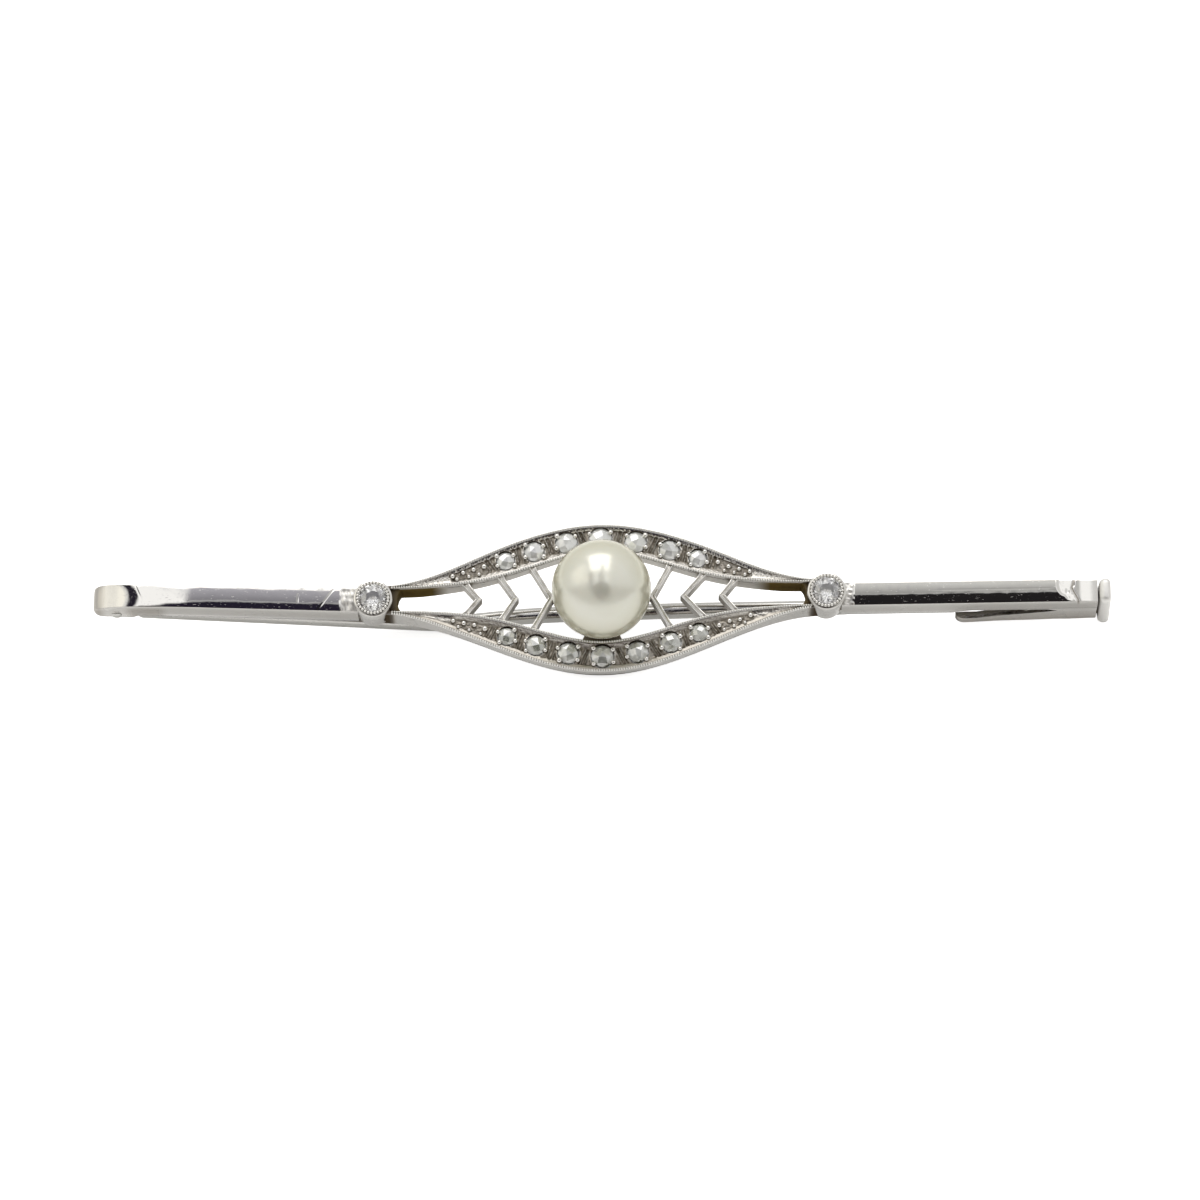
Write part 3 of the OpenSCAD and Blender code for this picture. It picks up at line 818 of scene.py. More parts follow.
def makePearl():
    p = pearlShape
    points, faces = beadShape(p["rings"], p["segments"])
    x, y, z = (points * p["radius"] * p["inside"]).T
    swell = 1 + 0.0012 * np.sin(2.1 * x + 0.7) + 0.001 * np.sin(2.7 * y - 0.4 + z)
    made = rawObject("pearl_body", np.column_stack([x * swell, y * swell, z * swell + p["height"]]), faces)
    settled(made, pearlLook, "brooch", 180)
    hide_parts("pearl")
    r, low = p["cupRadius"], -p["cupBottom"]
    section = [(r - 0.6, low), (r - 0.05, -0.6), (r, -0.55), (r - 0.1, -0.56), (r - 0.4, -0.9), (0.4, -1.5), (0.4, low)]
    cup = lathe("pearl_cup", section, 64)
    reach, half = p["strutReach"], p["strutHalf"]
    strut = plate("strut", [(-reach, -half), (reach, -half), (reach, half), (-reach, half)], *p["strutHeights"])
    joinedTo(cup, [bevelled(strut, 0.04, 2)])
    settled(cup, metals["frameMetal"], "brooch", 35)
    bridge = bevelled(plate("pearl_bridge", p["bridge"], *p["bridgeHeights"]), 0.08, 3)
    # the bridge is darkened all over: painted shade under the pearl
    keepOnPoints(bridge, "hollow", p["bridgeShade"])
    settled(bridge, metals["frameMetal"], "brooch", 40)


makePearl()
print("brooch: chevrons, pearl and cup")

# rose-cut stones of the arms, cut a little unevenly: each crown ring is its number of corners, its radius and height
# as shares of the stone's radius, and its turn
roseCut = {
    "seatBottom": -0.5, "girdleDepth": 0.36, "girdleCount": 15, "inside": 0.99,
    "crown": [(6, 0.76, 0.21, 0.0), (3, 0.36, 0.385, 0.25)], "foil": -0.47,
    "look": {1: "roseDiamond", -1: "greyRoseDiamond"},
}


def hullObject(name, points):
    work = bmesh.new()
    for p in points:
        work.verts.new(p)
    got = bmesh.ops.convex_hull(work, input=work.verts)
    inside = [v for v in got["geom_interior"] if isinstance(v, bmesh.types.BMVert)]
    bmesh.ops.delete(work, geom=inside, context="VERTS")
    bmesh.ops.dissolve_limit(work, angle_limit=math.radians(3), verts=work.verts, edges=work.edges)
    bmesh.ops.recalc_face_normals(work, faces=work.faces)
    mesh = bpy.data.meshes.new(name)
    work.to_mesh(mesh)
    work.free()
    return inScene(name, mesh)


def stonePlace(x, side):
    return side * float(spreadOut(x, bandMiddle(x), side))


def makeRose(name, x, r, side, chance):
    s = roseCut
    y = stonePlace(x, side)
    girdle = s["seatBottom"] + s["girdleDepth"]
    spin = chance.uniform(0, 6)
    points = []
    for k in range(s["girdleCount"]):
        a = spin + 2 * math.pi * k / s["girdleCount"]
        for z in (s["seatBottom"] + 0.06, girdle):
            points.append((x + s["inside"] * r * math.cos(a), y + s["inside"] * r * math.sin(a), z))
    for count, ring, height, offset in s["crown"]:
        for k in range(count):
            a = spin + 2 * math.pi * (k + offset + chance.uniform(-0.14, 0.14)) / count
            reach = r * ring * chance.uniform(0.9, 1.08)
            z = girdle + r * height * chance.uniform(0.92, 1.06)
            points.append((x + reach * math.cos(a), y + reach * math.sin(a), z))
    return settled(hullObject(name, points), stones[s["look"][side]], "brooch", 0)


def makeFoils(name, side):
    low = roseCut["foil"]
    foils = []
    for x, r in bandStones:
        section = [(0.0, low), (r * 0.6, low + 0.01), (r * 0.93, low + 0.03), (r, low + 0.2), (r + 0.03, low + 0.2),
                   (r, low - 0.02), (0.0, low - 0.04)]
        foils.append(lathe("foil", section, 24, (x, stonePlace(x, side), 0)))
    foils[0].name = name
    return settled(joinedTo(foils[0], foils[1:]), metals["foilUnderStones"], "brooch", 40)


chance = np.random.default_rng(11)
for side, word in sides:
    for number, (x, r) in enumerate(bandStones, 1):
        stone = makeRose(f"{word}_rose_{number}", x, r, side, chance)
        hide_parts(f"{word}_diamond_{number}")
    makeFoils(word + "_foils", side)

# grains: four round each stone, and two rows, large and small, at each end of the channel
grainSize = {
    "radius": 0.165, "tall": 0.18, "proud": 0.06, "turns": (38, 142, 218, 322), "gap": 0.09, "fromWall": 0.36,
    "rowStart": 7.12, "rowStep": 0.64, "large": 4, "rowShift": {1: 0.07, -1: -0.08},
    "smallStart": 7.44, "small": 3, "secondRow": 0.19, "deepest": -0.2, "around": 0.12, "aroundY": 0.1,
}


def grainSpots(side, seed, chance):
    g = grainSize
    places = []
    for x, r in bandStones:
        for turn in g["turns"]:
            a = math.radians(turn + chance.uniform(-9, 9))
            gx = x + (r + g["gap"]) * math.cos(a)
            gy = bandMiddle(x) + (r + g["gap"]) * math.sin(a) * 0.8
            half = (outerHalf(gx) - innerHalf(gx)) / 2 - g["fromWall"]
            mid = bandMiddle(gx)
            places.append((gx, min(max(gy, mid - half), mid + half), chance.uniform(0.85, 1.08)))
    for way in (-1, 1):
        for k in range(g["large"]):
            x = way * (g["rowStart"] + g["rowStep"] * k)
            y = bandMiddle(x) + g["rowShift"][side] + chance.uniform(-0.05, 0.05)
            places.append((x, y, chance.uniform(0.98, 1.15) * (1 - 0.04 * k)))
        for k in range(g["small"]):
            x = way * (g["smallStart"] + g["rowStep"] * k + chance.uniform(-0.06, 0.06))
            y = bandMiddle(x) - side * g["secondRow"] * (outerHalf(x) - innerHalf(x))
            places.append((x, y, chance.uniform(0.62, 0.76)))
    dx = g["around"] * np.array([1, -1, 1, -1])
    dy = g["aroundY"] * np.array([1, 1, -1, -1])
    spots = []
    for x, y, size in places:
        floor = max(sorted(armHeight(x + dx, y + dy, seed))[2], g["deepest"])
        centre = (x, side * float(spreadOut(x, y, side)), floor + g["proud"])
        spots.append((centre, (g["radius"] * size, g["radius"] * size, g["tall"] * size)))
    return spots


for side, word in sides:
    grains = beadMesh(word + "_grains", grainSpots(side, armSeeds[word], chance), 9, 14)
    settled(grains, metals["beadMetal"], "brooch", 180)
print("brooch: stones and grains")

# round collets with their beaded rims and old-cut stones: each ring of the cut is its number of corners, its radius and
# height as shares of the stone's radius, and its turn in degrees
colletShape = {
    "left": -13.9, "right": 13.7, "radius": 1.19, "rise": 0.45, "depth": 2.2, "taper": 0.2,
    "beads": 30, "beadRing": 0.945, "beadRadius": 0.097,
    "stoneRadius": 0.92, "stoneDrop": 0.21, "turn": {"left": 10, "right": 32},
    "cut": [(8, 0.48, 0.35, 0), (8, 0.76, 0.22, 22.5), (16, 1.0, 0.05, 0), (16, 1.0, 0.0, 0), (8, 0.4, -0.45, 0),
            (8, 0.09, -0.69, 0)],
    "solder": [(12.95, 0.82), (12.15, 0.76), (12.33, 0.5), (12.42, 0.2)], "solderHeights": (-2.0, -0.22),
    "solderShade": 0.95, "lowStain": 0.2,
}


def makeCollet(word):
    c = colletShape
    x, r, top, taper = c[word], c["radius"], c["rise"], c["taper"]
    section = [
        (r - taper, -c["depth"]), (r - 0.4 * taper, -0.9), (r - 0.1 * taper, -0.1), (r, top - 0.14),
        (r - 0.02, top - 0.06), (r - 0.07, top - 0.015), (r - 0.13, top), (r - 0.18, top - 0.03), (0.97, top - 0.06),
        (0.93, top - 0.14), (0.92, top - 0.3), (0.82, top - 0.34), (0.55, -0.7), (0.55, -c["depth"]),
    ]
    wall = lathe(f"{word}_collet", section, 96, (x, 0, 0))
    px, _, pz = pointsOf(wall)
    # painted shade on the side of the wall that faces the arms, below its top, and the wall darker towards the bottom
    inward = (px - x) * (1 if x < 0 else -1) / r
    stain = smooth(0.45, 0.9, inward) * smooth(-0.42, -0.2, -pz) + c["lowStain"] * smooth(0.2, 0.9, -pz)
    keepOnPoints(wall, "hollow", stain)
    settled(wall, metals["colletMetal"], "brooch", 30)
    turns = [2 * math.pi * k / c["beads"] for k in range(c["beads"])]
    spots = [((x + c["beadRing"] * math.cos(a), c["beadRing"] * math.sin(a), top + 0.01), (c["beadRadius"],) * 3)
             for a in turns]
    beads = beadMesh(f"{word}_collet_beads", spots, 8, 12)
    settled(beads, metals["beadMetal"], "brooch", 180)
    r, middle = c["stoneRadius"], top - c["stoneDrop"]
    points = []
    for count, ring, height, offset in c["cut"]:
        for k in range(count):
            a = math.radians(c["turn"][word] + offset + 360 * k / count)
            points.append((x + ring * r * math.cos(a), ring * r * math.sin(a), middle + height * r))
    stone = settled(hullObject(f"{word}_collet_diamond", points), stones["oldCutDiamond"], "brooch", 0)
    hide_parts(f"collet_stone_{word}")


# dark solder in the corner between a collet and the two arms: its darkness is painted shade between the parts
def makeShadedSolder(word, way):
    c = colletShape
    outline = [(way * x, y) for x, y in c["solder"] + [(x, -y) for x, y in reversed(c["solder"])]]
    made = bevelled(plate(f"{word}_solder", outline, *c["solderHeights"]), 0.06, 3)
    keepOnPoints(made, "hollow", c["solderShade"])
    return settled(made, metals["frameMetal"], "brooch", 40)


makeShadedSolder("left", -1)
makeShadedSolder("right", 1)
makeCollet("left")
makeCollet("right")
print("brooch: collets")

# bars: places along the left bar run outwards from its collet, and those along the right bar from the middle.
# A slope is its place and angle, a score its two ends, width and depth, a dent its middle, size and depth
barShape = {
    "halfLength": 31.0, "start": 0.9, "rightEnd": 30.2, "leftWidth": 1.46, "rightWidth": 1.4, "depth": 2.1,
    "edge": 0.045, "across": 30, "shift": restPose["barShift"],
    "leftCrown": 0.077, "rightCrown": 0.1, "leftTilt": 0.06, "rightTilt": 0.11, "leftBend": 2.5,
    "cheekDepth": 2.5, "cheekStart": 14.2, "cheekEnd": 14.8, "endLow": 0.75, "endCorner": 0.4,
    "endSlopes": [(0, 0), (10.8, 0), (11.5, 2.5), (13.9, 5), (14.15, 9), (14.85, 13.5), (15.1, 16), (16.2, 17),
                  (16.7, 20), (16.95, 45), (17.1, 85)],
    "endShift": (-0.22, -0.16, -0.32), "endShiftPlaces": ((11.5, 13.8), (16.2, 17.0)),
    "tiltFade": (13.9, 14.7), "tiltEase": (0.55, 9.0, 13.0),
    "wobble": [(0.0012, 1.7, 1.0, 0), (0.0006, 0.5, 0.7, 5)],
    "leftShoulder": (1.75, 2.1), "rightShoulder": (0.5, 0.85), "shoulderRise": 0.02, "shoulderWaves": 0.035,
    "scores": [(2.43, 0.62, 3.38, -0.72, 0.024, 0.012), (14.5, 0.6, 14.0, -0.5, 0.03, 0.006),
               (4.56, 0.3, 4.6, -0.28, 0.024, 0.009)],
    "bentFrom": 27.6, "bentReach": 0.95, "bentPower": 2.6, "bentDrop": 0.075, "bentSlope": 0.085, "lastSlope": 0.07,
    "crease": [(28.78, 0.62), (28.62, 0.1), (29.0, -0.65)], "creaseDepth": 0.03, "creaseWidth": 0.08,
    "dents": [(28.35, -0.05, 0.13, 0.02), (28.2, 0.3, 0.16, 0.012)],
    "line": [(-0.006, 0.13, 0.035), (0.004, 0.05, 0.04)], "linePlaces": ((19.6, 21.0), (27.0, 27.6)),
    "sideStain": 0.28, "hingeStain": 0.5, "endStain": 0.55, "creaseDarkening": 0.9, "creaseDarkeningWidth": 0.07,
    "hingeOut": 15.7, "hingeDepth": 2.05, "slotWidth": 0.68,
    "hingeCuts": [(14.93, -1.55, 16.47), (13.8, -2.1, 15.4)],
}


# one cross-section of a bar, with its face's heights given over the width
def barRing(x, half, heights, back, edge, middle=0.0):
    turns = [math.radians(a) for a in (30, 60, 90)]
    first, last = heights[0], heights[-1]
    ring = list(zip(np.linspace(half - edge, -half + edge, len(heights)), heights))
    ring += [(-half + edge - edge * math.sin(a), last - edge + edge * math.cos(a)) for a in turns]
    ring += [(-half, last - edge + (back + 2 * edge - last) * t) for t in (0.33, 0.67)]
    ring += [(-half, back + edge), (-half + edge * 0.3, back + edge * 0.3), (-half + edge, back)]
    ring += [(half - edge, back), (half - edge * 0.3, back + edge * 0.3), (half, back + edge)]
    ring += [(half, first - edge + (back + 2 * edge - first) * t) for t in (0.67, 0.33)]
    ring += [(half - edge + edge * math.sin(a), first - edge + edge * math.cos(a)) for a in reversed(turns)]
    return [(x, middle + y, z) for y, z in ring]


# face of a bar: low crown, a slight lean towards the viewer and the unevenness of long wear
def barFace(x, half, crown, tilt, seed):
    ys = np.linspace(half - barShape["edge"], -half + barShape["edge"], barShape["across"])
    heights = -crown * (ys / half) ** 2 + tilt * ys
    for high, size, stretch, more in barShape["wobble"]:
        heights = heights + high * waves(x * stretch, ys, size, seed + more)
    return heights, ys


# rough solder where a bar leaves its collet
def shoulderAt(x, ys, places, seed):
    rise = barShape["shoulderRise"] + barShape["shoulderWaves"] * waves(x, ys, 0.4, seed)
    return float(1 - smooth(*places, x)) * rise


# a long straight score across a face
def scored(x, ys, score):
    x0, y0, x1, y1, width, depth = score
    if not min(x0, x1) - 0.05 < x < max(x0, x1) + 0.05:
        return 0.0
    across = np.abs((x - x0) * (y1 - y0) - (ys - y0) * (x1 - x0)) / math.hypot(x1 - x0, y1 - y0)
    return depth * np.exp(-(across / width) ** 2) * (ys > min(y0, y1)) * (ys < max(y0, y1))


# how far the left bar's face has fallen towards the hinge, at finely spaced places
def hingeFall(end):
    fine = np.linspace(0, end, 1700)
    slopes = np.interp(fine, *zip(*barShape["endSlopes"]))
    return fine, np.concatenate([[0], np.cumsum(np.tan(np.radians(slopes[:-1])) * np.diff(fine))])


# how much of a rounded corner of radius r is missing at the distance "past" from where the rounding starts
def roundedOff(r, past):
    return r - math.sqrt(max(r ** 2 - past ** 2, 0.0)) if past > 0 else 0.0


def makeLeftBar():
    b = barShape
    end = b["halfLength"] + colletShape["left"]
    half = b["leftWidth"] / 2
    fine, fall = hingeFall(end)
    places = list(np.linspace(b["start"], b["cheekStart"], 260)) + list(np.linspace(b["cheekStart"], end - 0.5, 70))[1:]
    places += [end - 0.5 + 0.5 * math.sin(math.pi / 2 * k / 22) for k in range(1, 23)]
    most, easeFrom, easeTo = b["tiltEase"]
    rings = []
    for u in places:
        back = -b["depth"] - (b["cheekDepth"] - b["depth"]) * float(smooth(b["cheekStart"], b["cheekEnd"], u))
        back += roundedOff(b["endLow"], u - end + b["endLow"])
        narrow = half - 0.55 * roundedOff(b["endCorner"], u - end + b["endCorner"])
        ease = float((1 - smooth(*b["tiltFade"], u)) * (1 - most * smooth(easeFrom, easeTo, u)))
        heights, ys = barFace(-u, narrow, b["leftCrown"], b["leftTilt"] * ease, 21)
        heights = heights + shoulderAt(u, ys, b["leftShoulder"], 33)
        for score in b["scores"]:
            heights = heights - scored(u, ys, score)
        t = ys / half
        shift = b["endShift"][0] + b["endShift"][1] * t + b["endShift"][2] * t * t
        (rise0, rise1), (sink0, sink1) = b["endShiftPlaces"]
        ahead = shift * float(smooth(rise0, rise1, u) * (1 - smooth(sink0, sink1, u)))
        rings.append(barRing(u, narrow, heights - np.interp(u + ahead, fine, fall), back, b["edge"]))
    bar = loft("left_bar", rings)
    reach = b["slotWidth"] / 2
    for x0, top, x1 in b["hingeCuts"]:
        cutter = plate("slot", [(x0, -3.2), (x0, top), (x1, top), (x1, -3.2)], -reach, reach, "y")
        cutBy(bar, cutter)
        dropped(cutter)
    x, _, z = pointsOf(bar)
    stain = b["sideStain"] * smooth(0.1, 0.3, -z - np.interp(x, fine, fall))
    stain = stain + b["hingeStain"] * smooth(12.4, 13.2, x) * (1 - smooth(14.6, 15.4, x)) * (z < -0.5)
    keepOnPoints(bar, "hollow", stain + b["endStain"] * smooth(16.2, 16.8, x))
    keepOnPoints(bar, "dull", (1 - smooth(1.8, 2.1, x)) * (z > -0.25) + 0.5 * smooth(15.3, 15.8, x))
    return settled(bar, metals["polishedBars"], "brooch", 30, leftBarPlace)


leftBarPlace = (Matrix.Translation((colletShape["left"], 0, 0))
                @ Matrix.Rotation(math.radians(-barShape["leftBend"]), 4, "Z") @ Matrix.Diagonal((-1, 1, 1, 1)))
makeLeftBar()

# slotted catch tube under the right bar: outer is places and radii along it, opening and window are seen from the side
catchShape = {
    "radius": 0.9, "mouthRadius": 1.0, "bore": 0.62, "depth": 3.0, "start": 21.6, "lip": 0.55,
    "outer": [(23.0, 0.97), (24.0, 0.93), (25.4, 0.91), (26.4, 0.9), (27.6, 0.87), (28.6, 0.88), (29.7, 0.85)],
    "window": [(21.5, -2.6), (21.5, -1.95), (22.5, -1.65), (25.4, -1.6), (27.2, -1.68), (27.8, -1.93), (27.0, -2.12),
               (26.0, -2.27), (24.4, -2.45), (22.9, -2.6)],
    "opening": [(20.6, -5.5), (27.4, -5.5), (27.8, -4.6), (27.8, -3.6), (27.6, -3.1), (27.2, -3.0), (20.6, -3.0)],
    "webHeights": (-2.45, -2.05), "sideStain": 0.3, "lowStain": 0.5, "mouthShade": 0.95, "boreShade": 0.97,
}


def creaseAt(y):
    places, heights = zip(*barShape["crease"])
    return np.interp(-y, [-v for v in heights], places)


def rightBarFace(x, start):
    b = barShape
    half = b["rightWidth"] / 2
    heights, ys = barFace(x, half, b["rightCrown"], b["rightTilt"], 27)
    heights = heights + shoulderAt(x, ys, [start + v for v in b["rightShoulder"]], 34)
    bendAt = b["bentFrom"] + b["bentReach"] * ((half - ys) / (2 * half)) ** b["bentPower"]
    bent = smooth(0.0, 0.2, x - bendAt + 0.05 * waves(x, ys, 0.6, 51))
    slid = np.clip(x, b["bentFrom"], b["crease"][1][0]) - b["bentFrom"]
    facet = -b["bentDrop"] - b["bentSlope"] * slid - b["lastSlope"] * max(x - 28.9, 0.0) ** 2
    facet = facet + 0.004 * waves(x, ys, 0.6, 52) * smooth(28.9, 28.5, x)
    heights = heights + bent * (facet - heights)
    for dx, dy, size, depth in b["dents"]:
        heights = heights - depth * np.exp(-(((x - dx) / size) ** 2 + ((ys - dy) / size) ** 2))
    (rise0, rise1), (sink0, sink1) = b["linePlaces"]
    inLine = float(smooth(rise0, rise1, x) * (1 - smooth(sink0, sink1, x)))
    for high, at, width in b["line"]:
        heights = heights + high * inLine * np.exp(-((ys - at) / width) ** 2)
    off = x - creaseAt(ys) - 0.02 * waves(x * 0, ys, 0.3, 53)
    return heights - b["creaseDepth"] * np.exp(-(off / b["creaseWidth"]) ** 2)


def makeRightBar():
    b, c = barShape, catchShape
    half, shift, bore, end = b["rightWidth"] / 2, b["shift"], c["bore"], b["rightEnd"]
    start = colletShape["right"] + b["start"]
    bar = loft("right_bar", [barRing(x, half, rightBarFace(x, start), -b["depth"], b["edge"], -shift)
                             for x in np.linspace(start, end, 420)])
    window = plate("window", c["window"], -3.0, -shift - 0.25, "y")
    cutBy(bar, window)

    # the tube: a rounded mouth, an uneven outside and a bore
    lipStart = bore + 0.02
    section = [(lipStart, c["start"])]
    for k in range(1, 9):
        a = math.pi / 2 * k / 8
        grown = (c["mouthRadius"] - lipStart) * math.sin(a)
        section.append((lipStart + grown, c["start"] + c["lip"] * (1 - math.cos(a))))
    section += [(r, x) for x, r in c["outer"]]
    section += [(c["radius"] - 0.05, end - 0.04), (c["radius"] - 0.09, end), (bore, end), (bore, 26.0), (bore, 22.2)]
    tube = lathe("catch_tube", section, 96, (0, -shift, -c["depth"]), "x")
    opening = plate("opening", c["opening"], -shift - bore, -shift + bore, "y")
    cutBy(tube, opening)
    cutBy(tube, window)

    # what joins it to the bar: a web inside, and a skin that runs from the bar's side round the tube
    low, high = c["webHeights"]
    outline = [(c["start"] + 0.7, low), (c["start"] + 0.7, high), (end - 0.05, high), (end - 0.05, low)]
    web = cutBy(plate("web", outline, -shift - 0.42, -shift + 0.5, "y"), window)
    rings = []
    for x in np.linspace(c["start"] + 0.6, end - 0.02, 90):
        reach = np.interp(x, *zip(*c["outer"]))
        side = [(half + 0.005, -1.5), (half + 0.012, -1.9), (half + 0.03, -2.15), (reach - 0.12, -2.45),
                (reach - 0.03, -2.75), (reach + 0.004, -3.0), (reach - 0.2, -3.0), (reach - 0.25, -2.6),
                (half - 0.15, -2.2), (half - 0.15, -1.5)]
        rings.append([(x, -shift - y, z) for y, z in side])
    skin = cutBy(loft("skin", rings), window)
    dropped(opening, window)

    x, y, z = pointsOf(bar)
    # darker along the crease
    crease = b["creaseDarkening"] * (z > -0.4) * np.exp(-((x - creaseAt(y)) / b["creaseDarkeningWidth"]) ** 2)
    keepOnPoints(bar, "hollow", b["sideStain"] * smooth(0.2, 0.35, -z) + crease)
    keepOnPoints(bar, "dull", (1 - smooth(*[start + v for v in b["rightShoulder"]], x)) * (z > -0.25))
    settled(bar, metals["polishedBars"], "brooch", 30)
    joinedTo(tube, [web, skin])
    x, y, z = pointsOf(tube)
    stain = c["sideStain"] * smooth(1.95, 2.3, -z) + c["lowStain"] * smooth(2.5, 3.2, -z)
    # painted shade in the rounded mouth and inside the bore
    stain = stain + c["mouthShade"] * (1 - smooth(21.62, 21.85, x))
    keepOnPoints(tube, "hollow", stain + c["boreShade"] * (np.hypot(y + shift, z + c["depth"]) < bore + 0.05))
    settled(tube, metals["catchMetal"], "brooch", 30)
    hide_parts("setting")


makeRightBar()
print("brooch: bars and catch")

# pin: a wire with a kink and a point, and the flattened eye at the hinge. A knot is a place along, across and in depth
pinShape = {
    "radius": 0.49, "start": (-28, 0.48, -2.85), "kink": (-9.4, -0.47),
    "knots": [(-4.2, -0.14, -3.3), (5, -0.08, -3.0), (12.6, -0.08, -3.0), (24.6, -0.08, -3.0)],
    "bend": 1.6, "bendShare": 2.5, "bendSteps": 8, "step": 0.8, "segments": 36, "startSteps": 8,
    "taperFrom": 12.6, "tip": (24.6, 0.07),
    "eyeRadius": 0.62, "eyeBore": 0.29, "eyeWidth": 0.6,
    "neck": [(14.1, -2.95), (14.1, -2.25), (15.3, -2.25), (15.3, -2.95)],
}


# middle line of the wire: straight between its knots, with a soft bend at each, and its kink rests on the floor
def pinPath():
    p = pinShape
    kinkX, kinkY = p["kink"]
    drop = restMatrix.translation.z / mm - p["radius"] + kinkY * math.sin(leanAngle)
    knots = [Vector(p["start"]), Vector((kinkX, kinkY, -drop / math.cos(leanAngle)))] + [Vector(k) for k in p["knots"]]
    path = [knots[0]]
    for before, here, after in zip(knots, knots[1:-1], knots[2:]):
        reach = min(p["bend"], (here - before).length / p["bendShare"], (after - here).length / p["bendShare"])
        start = here + (before - here).normalized() * reach
        finish = here + (after - here).normalized() * reach
        for k in range(p["bendSteps"] + 1):
            t = k / p["bendSteps"]
            path.append(start.lerp(here, t).lerp(here.lerp(finish, t), t))
    path.append(knots[-1])
    fine = [path[0]]
    for a, b in zip(path, path[1:]):
        pieces = max(1, int((b - a).length / p["step"]))
        fine += [a.lerp(b, k / pieces) for k in range(1, pieces + 1)]
    return fine


def pinRadius(i, point):
    p = pinShape
    if i < p["startSteps"]:
        return p["radius"] * math.sin(math.pi / 2 * i / p["startSteps"]) + 0.001
    end, tip = p["tip"]
    taper = max(point.x - p["taperFrom"], 0.0) / (end - p["taperFrom"])
    return p["radius"] + (tip - p["radius"]) * taper


def makePin():
    p, b = pinShape, barShape
    path = pinPath()
    start, way = path[0], (path[1] - path[0]).normalized()
    for k in range(p["startSteps"]):
        path.insert(k, start - way * p["radius"] * math.cos(math.pi / 2 * k / p["startSteps"]))
    turns = [2 * math.pi * k / p["segments"] for k in range(p["segments"])]
    rings = []
    for i, point in enumerate(path):
        r = pinRadius(i, point)
        ahead = path[min(i + 1, len(path) - 1)] - path[max(i - 1, 0)]
        ahead.normalize()
        side = ahead.cross(Vector((0, 0, 1))).normalized()
        up = side.cross(ahead)
        rings.append([tuple(point + side * r * math.cos(a) + up * r * math.sin(a)) for a in turns])
    wire = loft("pin_wire", rings)
    settled(wire, metals["pinMetal"], "pin", 40)
    half, bore, r = p["eyeWidth"] / 2, p["eyeBore"], p["eyeRadius"]
    section = [(bore, -half), (bore, half), (r - 0.04, half), (r, half - 0.04), (r, -half + 0.04), (r - 0.04, -half)]
    eye = lathe("pin_eye", section, 64, (b["hingeOut"], 0, -b["hingeDepth"]), "y")
    joinedTo(eye, [bevelled(plate("neck", p["neck"], -half, half, "y"), 0.04)])
    settled(eye, metals["pinMetal"], "pin", 35, leftBarPlace)
    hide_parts("pin_stem")


makePin()

# rivet of the hinge, with a round head on each side
rivetHead = [(0.25, 0.0), (0.33, 0.0), (0.29, 0.08), (0.18, 0.14), (0.0, 0.16)]


def makeRivet():
    b = barShape
    reach = b["leftWidth"] / 2 + 0.01
    section = [(r, -reach - out) for r, out in reversed(rivetHead)] + [(r, reach + out) for r, out in rivetHead]
    rivet = lathe("rivet_heads", section, 48, (b["hingeOut"], 0, -b["hingeDepth"]), "y")
    settled(rivet, metals["pinMetal"], "brooch", 40, leftBarPlace)
    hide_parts("hinge_rivet")


makeRivet()

# slide: its rounded end plate and its tube in the catch; a round is how wide and how deep it is
plateShape = {
    "start": 30.3, "end": 31.0, "startRound": (0.36, 0.3), "endRound": (0.26, 0.22), "roundSteps": 9,
    "halfWidth": 0.78, "corner": 0.35, "foot": restPose["plateFootDepth"], "footRadius": restPose["plateFootRadius"],
    "tube": [(0.36, 24.75), (0.54, 24.75), (0.58, 24.8), (0.58, 30.4), (0.36, 30.4)], "tubeTarnishAndShade": 0.9,
}


def arc(y, z, r, start, step, count):
    turns = [math.radians(start + step * k) for k in range(count)]
    return [(y + r * math.cos(a), z + r * math.sin(a)) for a in turns]


def makeSleeve():
    s, shift = plateShape, barShape["shift"]
    (w0, d0), (w1, d1) = s["startRound"], s["endRound"]
    turns = [math.pi / 2 * k / s["roundSteps"] for k in range(s["roundSteps"] + 1)]
    sections = [(s["start"] + w0 * (1 - math.cos(a)), d0 * (1 - math.sin(a))) for a in turns]
    sections += [(s["end"] - w1 * (1 - math.cos(a)), d1 * (1 - math.sin(a))) for a in reversed(turns)]
    rings = []
    for x, inset in sections:
        corner = s["corner"] - 0.4 * inset
        cornerY = s["halfWidth"] - inset - corner
        outline = arc(cornerY, -inset - corner, corner, 0, 15, 7) + arc(-cornerY, -inset - corner, corner, 90, 15, 7)
        outline += arc(0.0, -s["foot"], s["footRadius"] - inset, 180, 7.5, 25)
        rings.append([(x, y - shift, z) for y, z in outline])
    knob = loft("slide_plate", rings)
    tube = lathe("slide_tube", s["tube"], 64, (0, -shift, -catchShape["depth"]), "x")
    # the slide's tube in the catch is tarnished and darkened all over with painted shade
    keepOnPoints(tube, "hollow", s["tubeTarnishAndShade"])
    settled(tube, metals["catchMetal"], "sleeve", 40)
    settled(knob, metals["plateMetal"], "sleeve", 35)
    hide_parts("catch_sleeve")


makeSleeve()
print("brooch: pin, rivet and slide")

# pale floor: it glows a little, more for the camera than for the metal
floorShape = {
    "half": 1.2, "colour": (0.78, 0.78, 0.775), "paler": (0.82, 0.82, 0.82), "patchScale": 60, "roughness": 0.9,
    "seenGlow": 0.78, "metalGlow": 0.22,
}


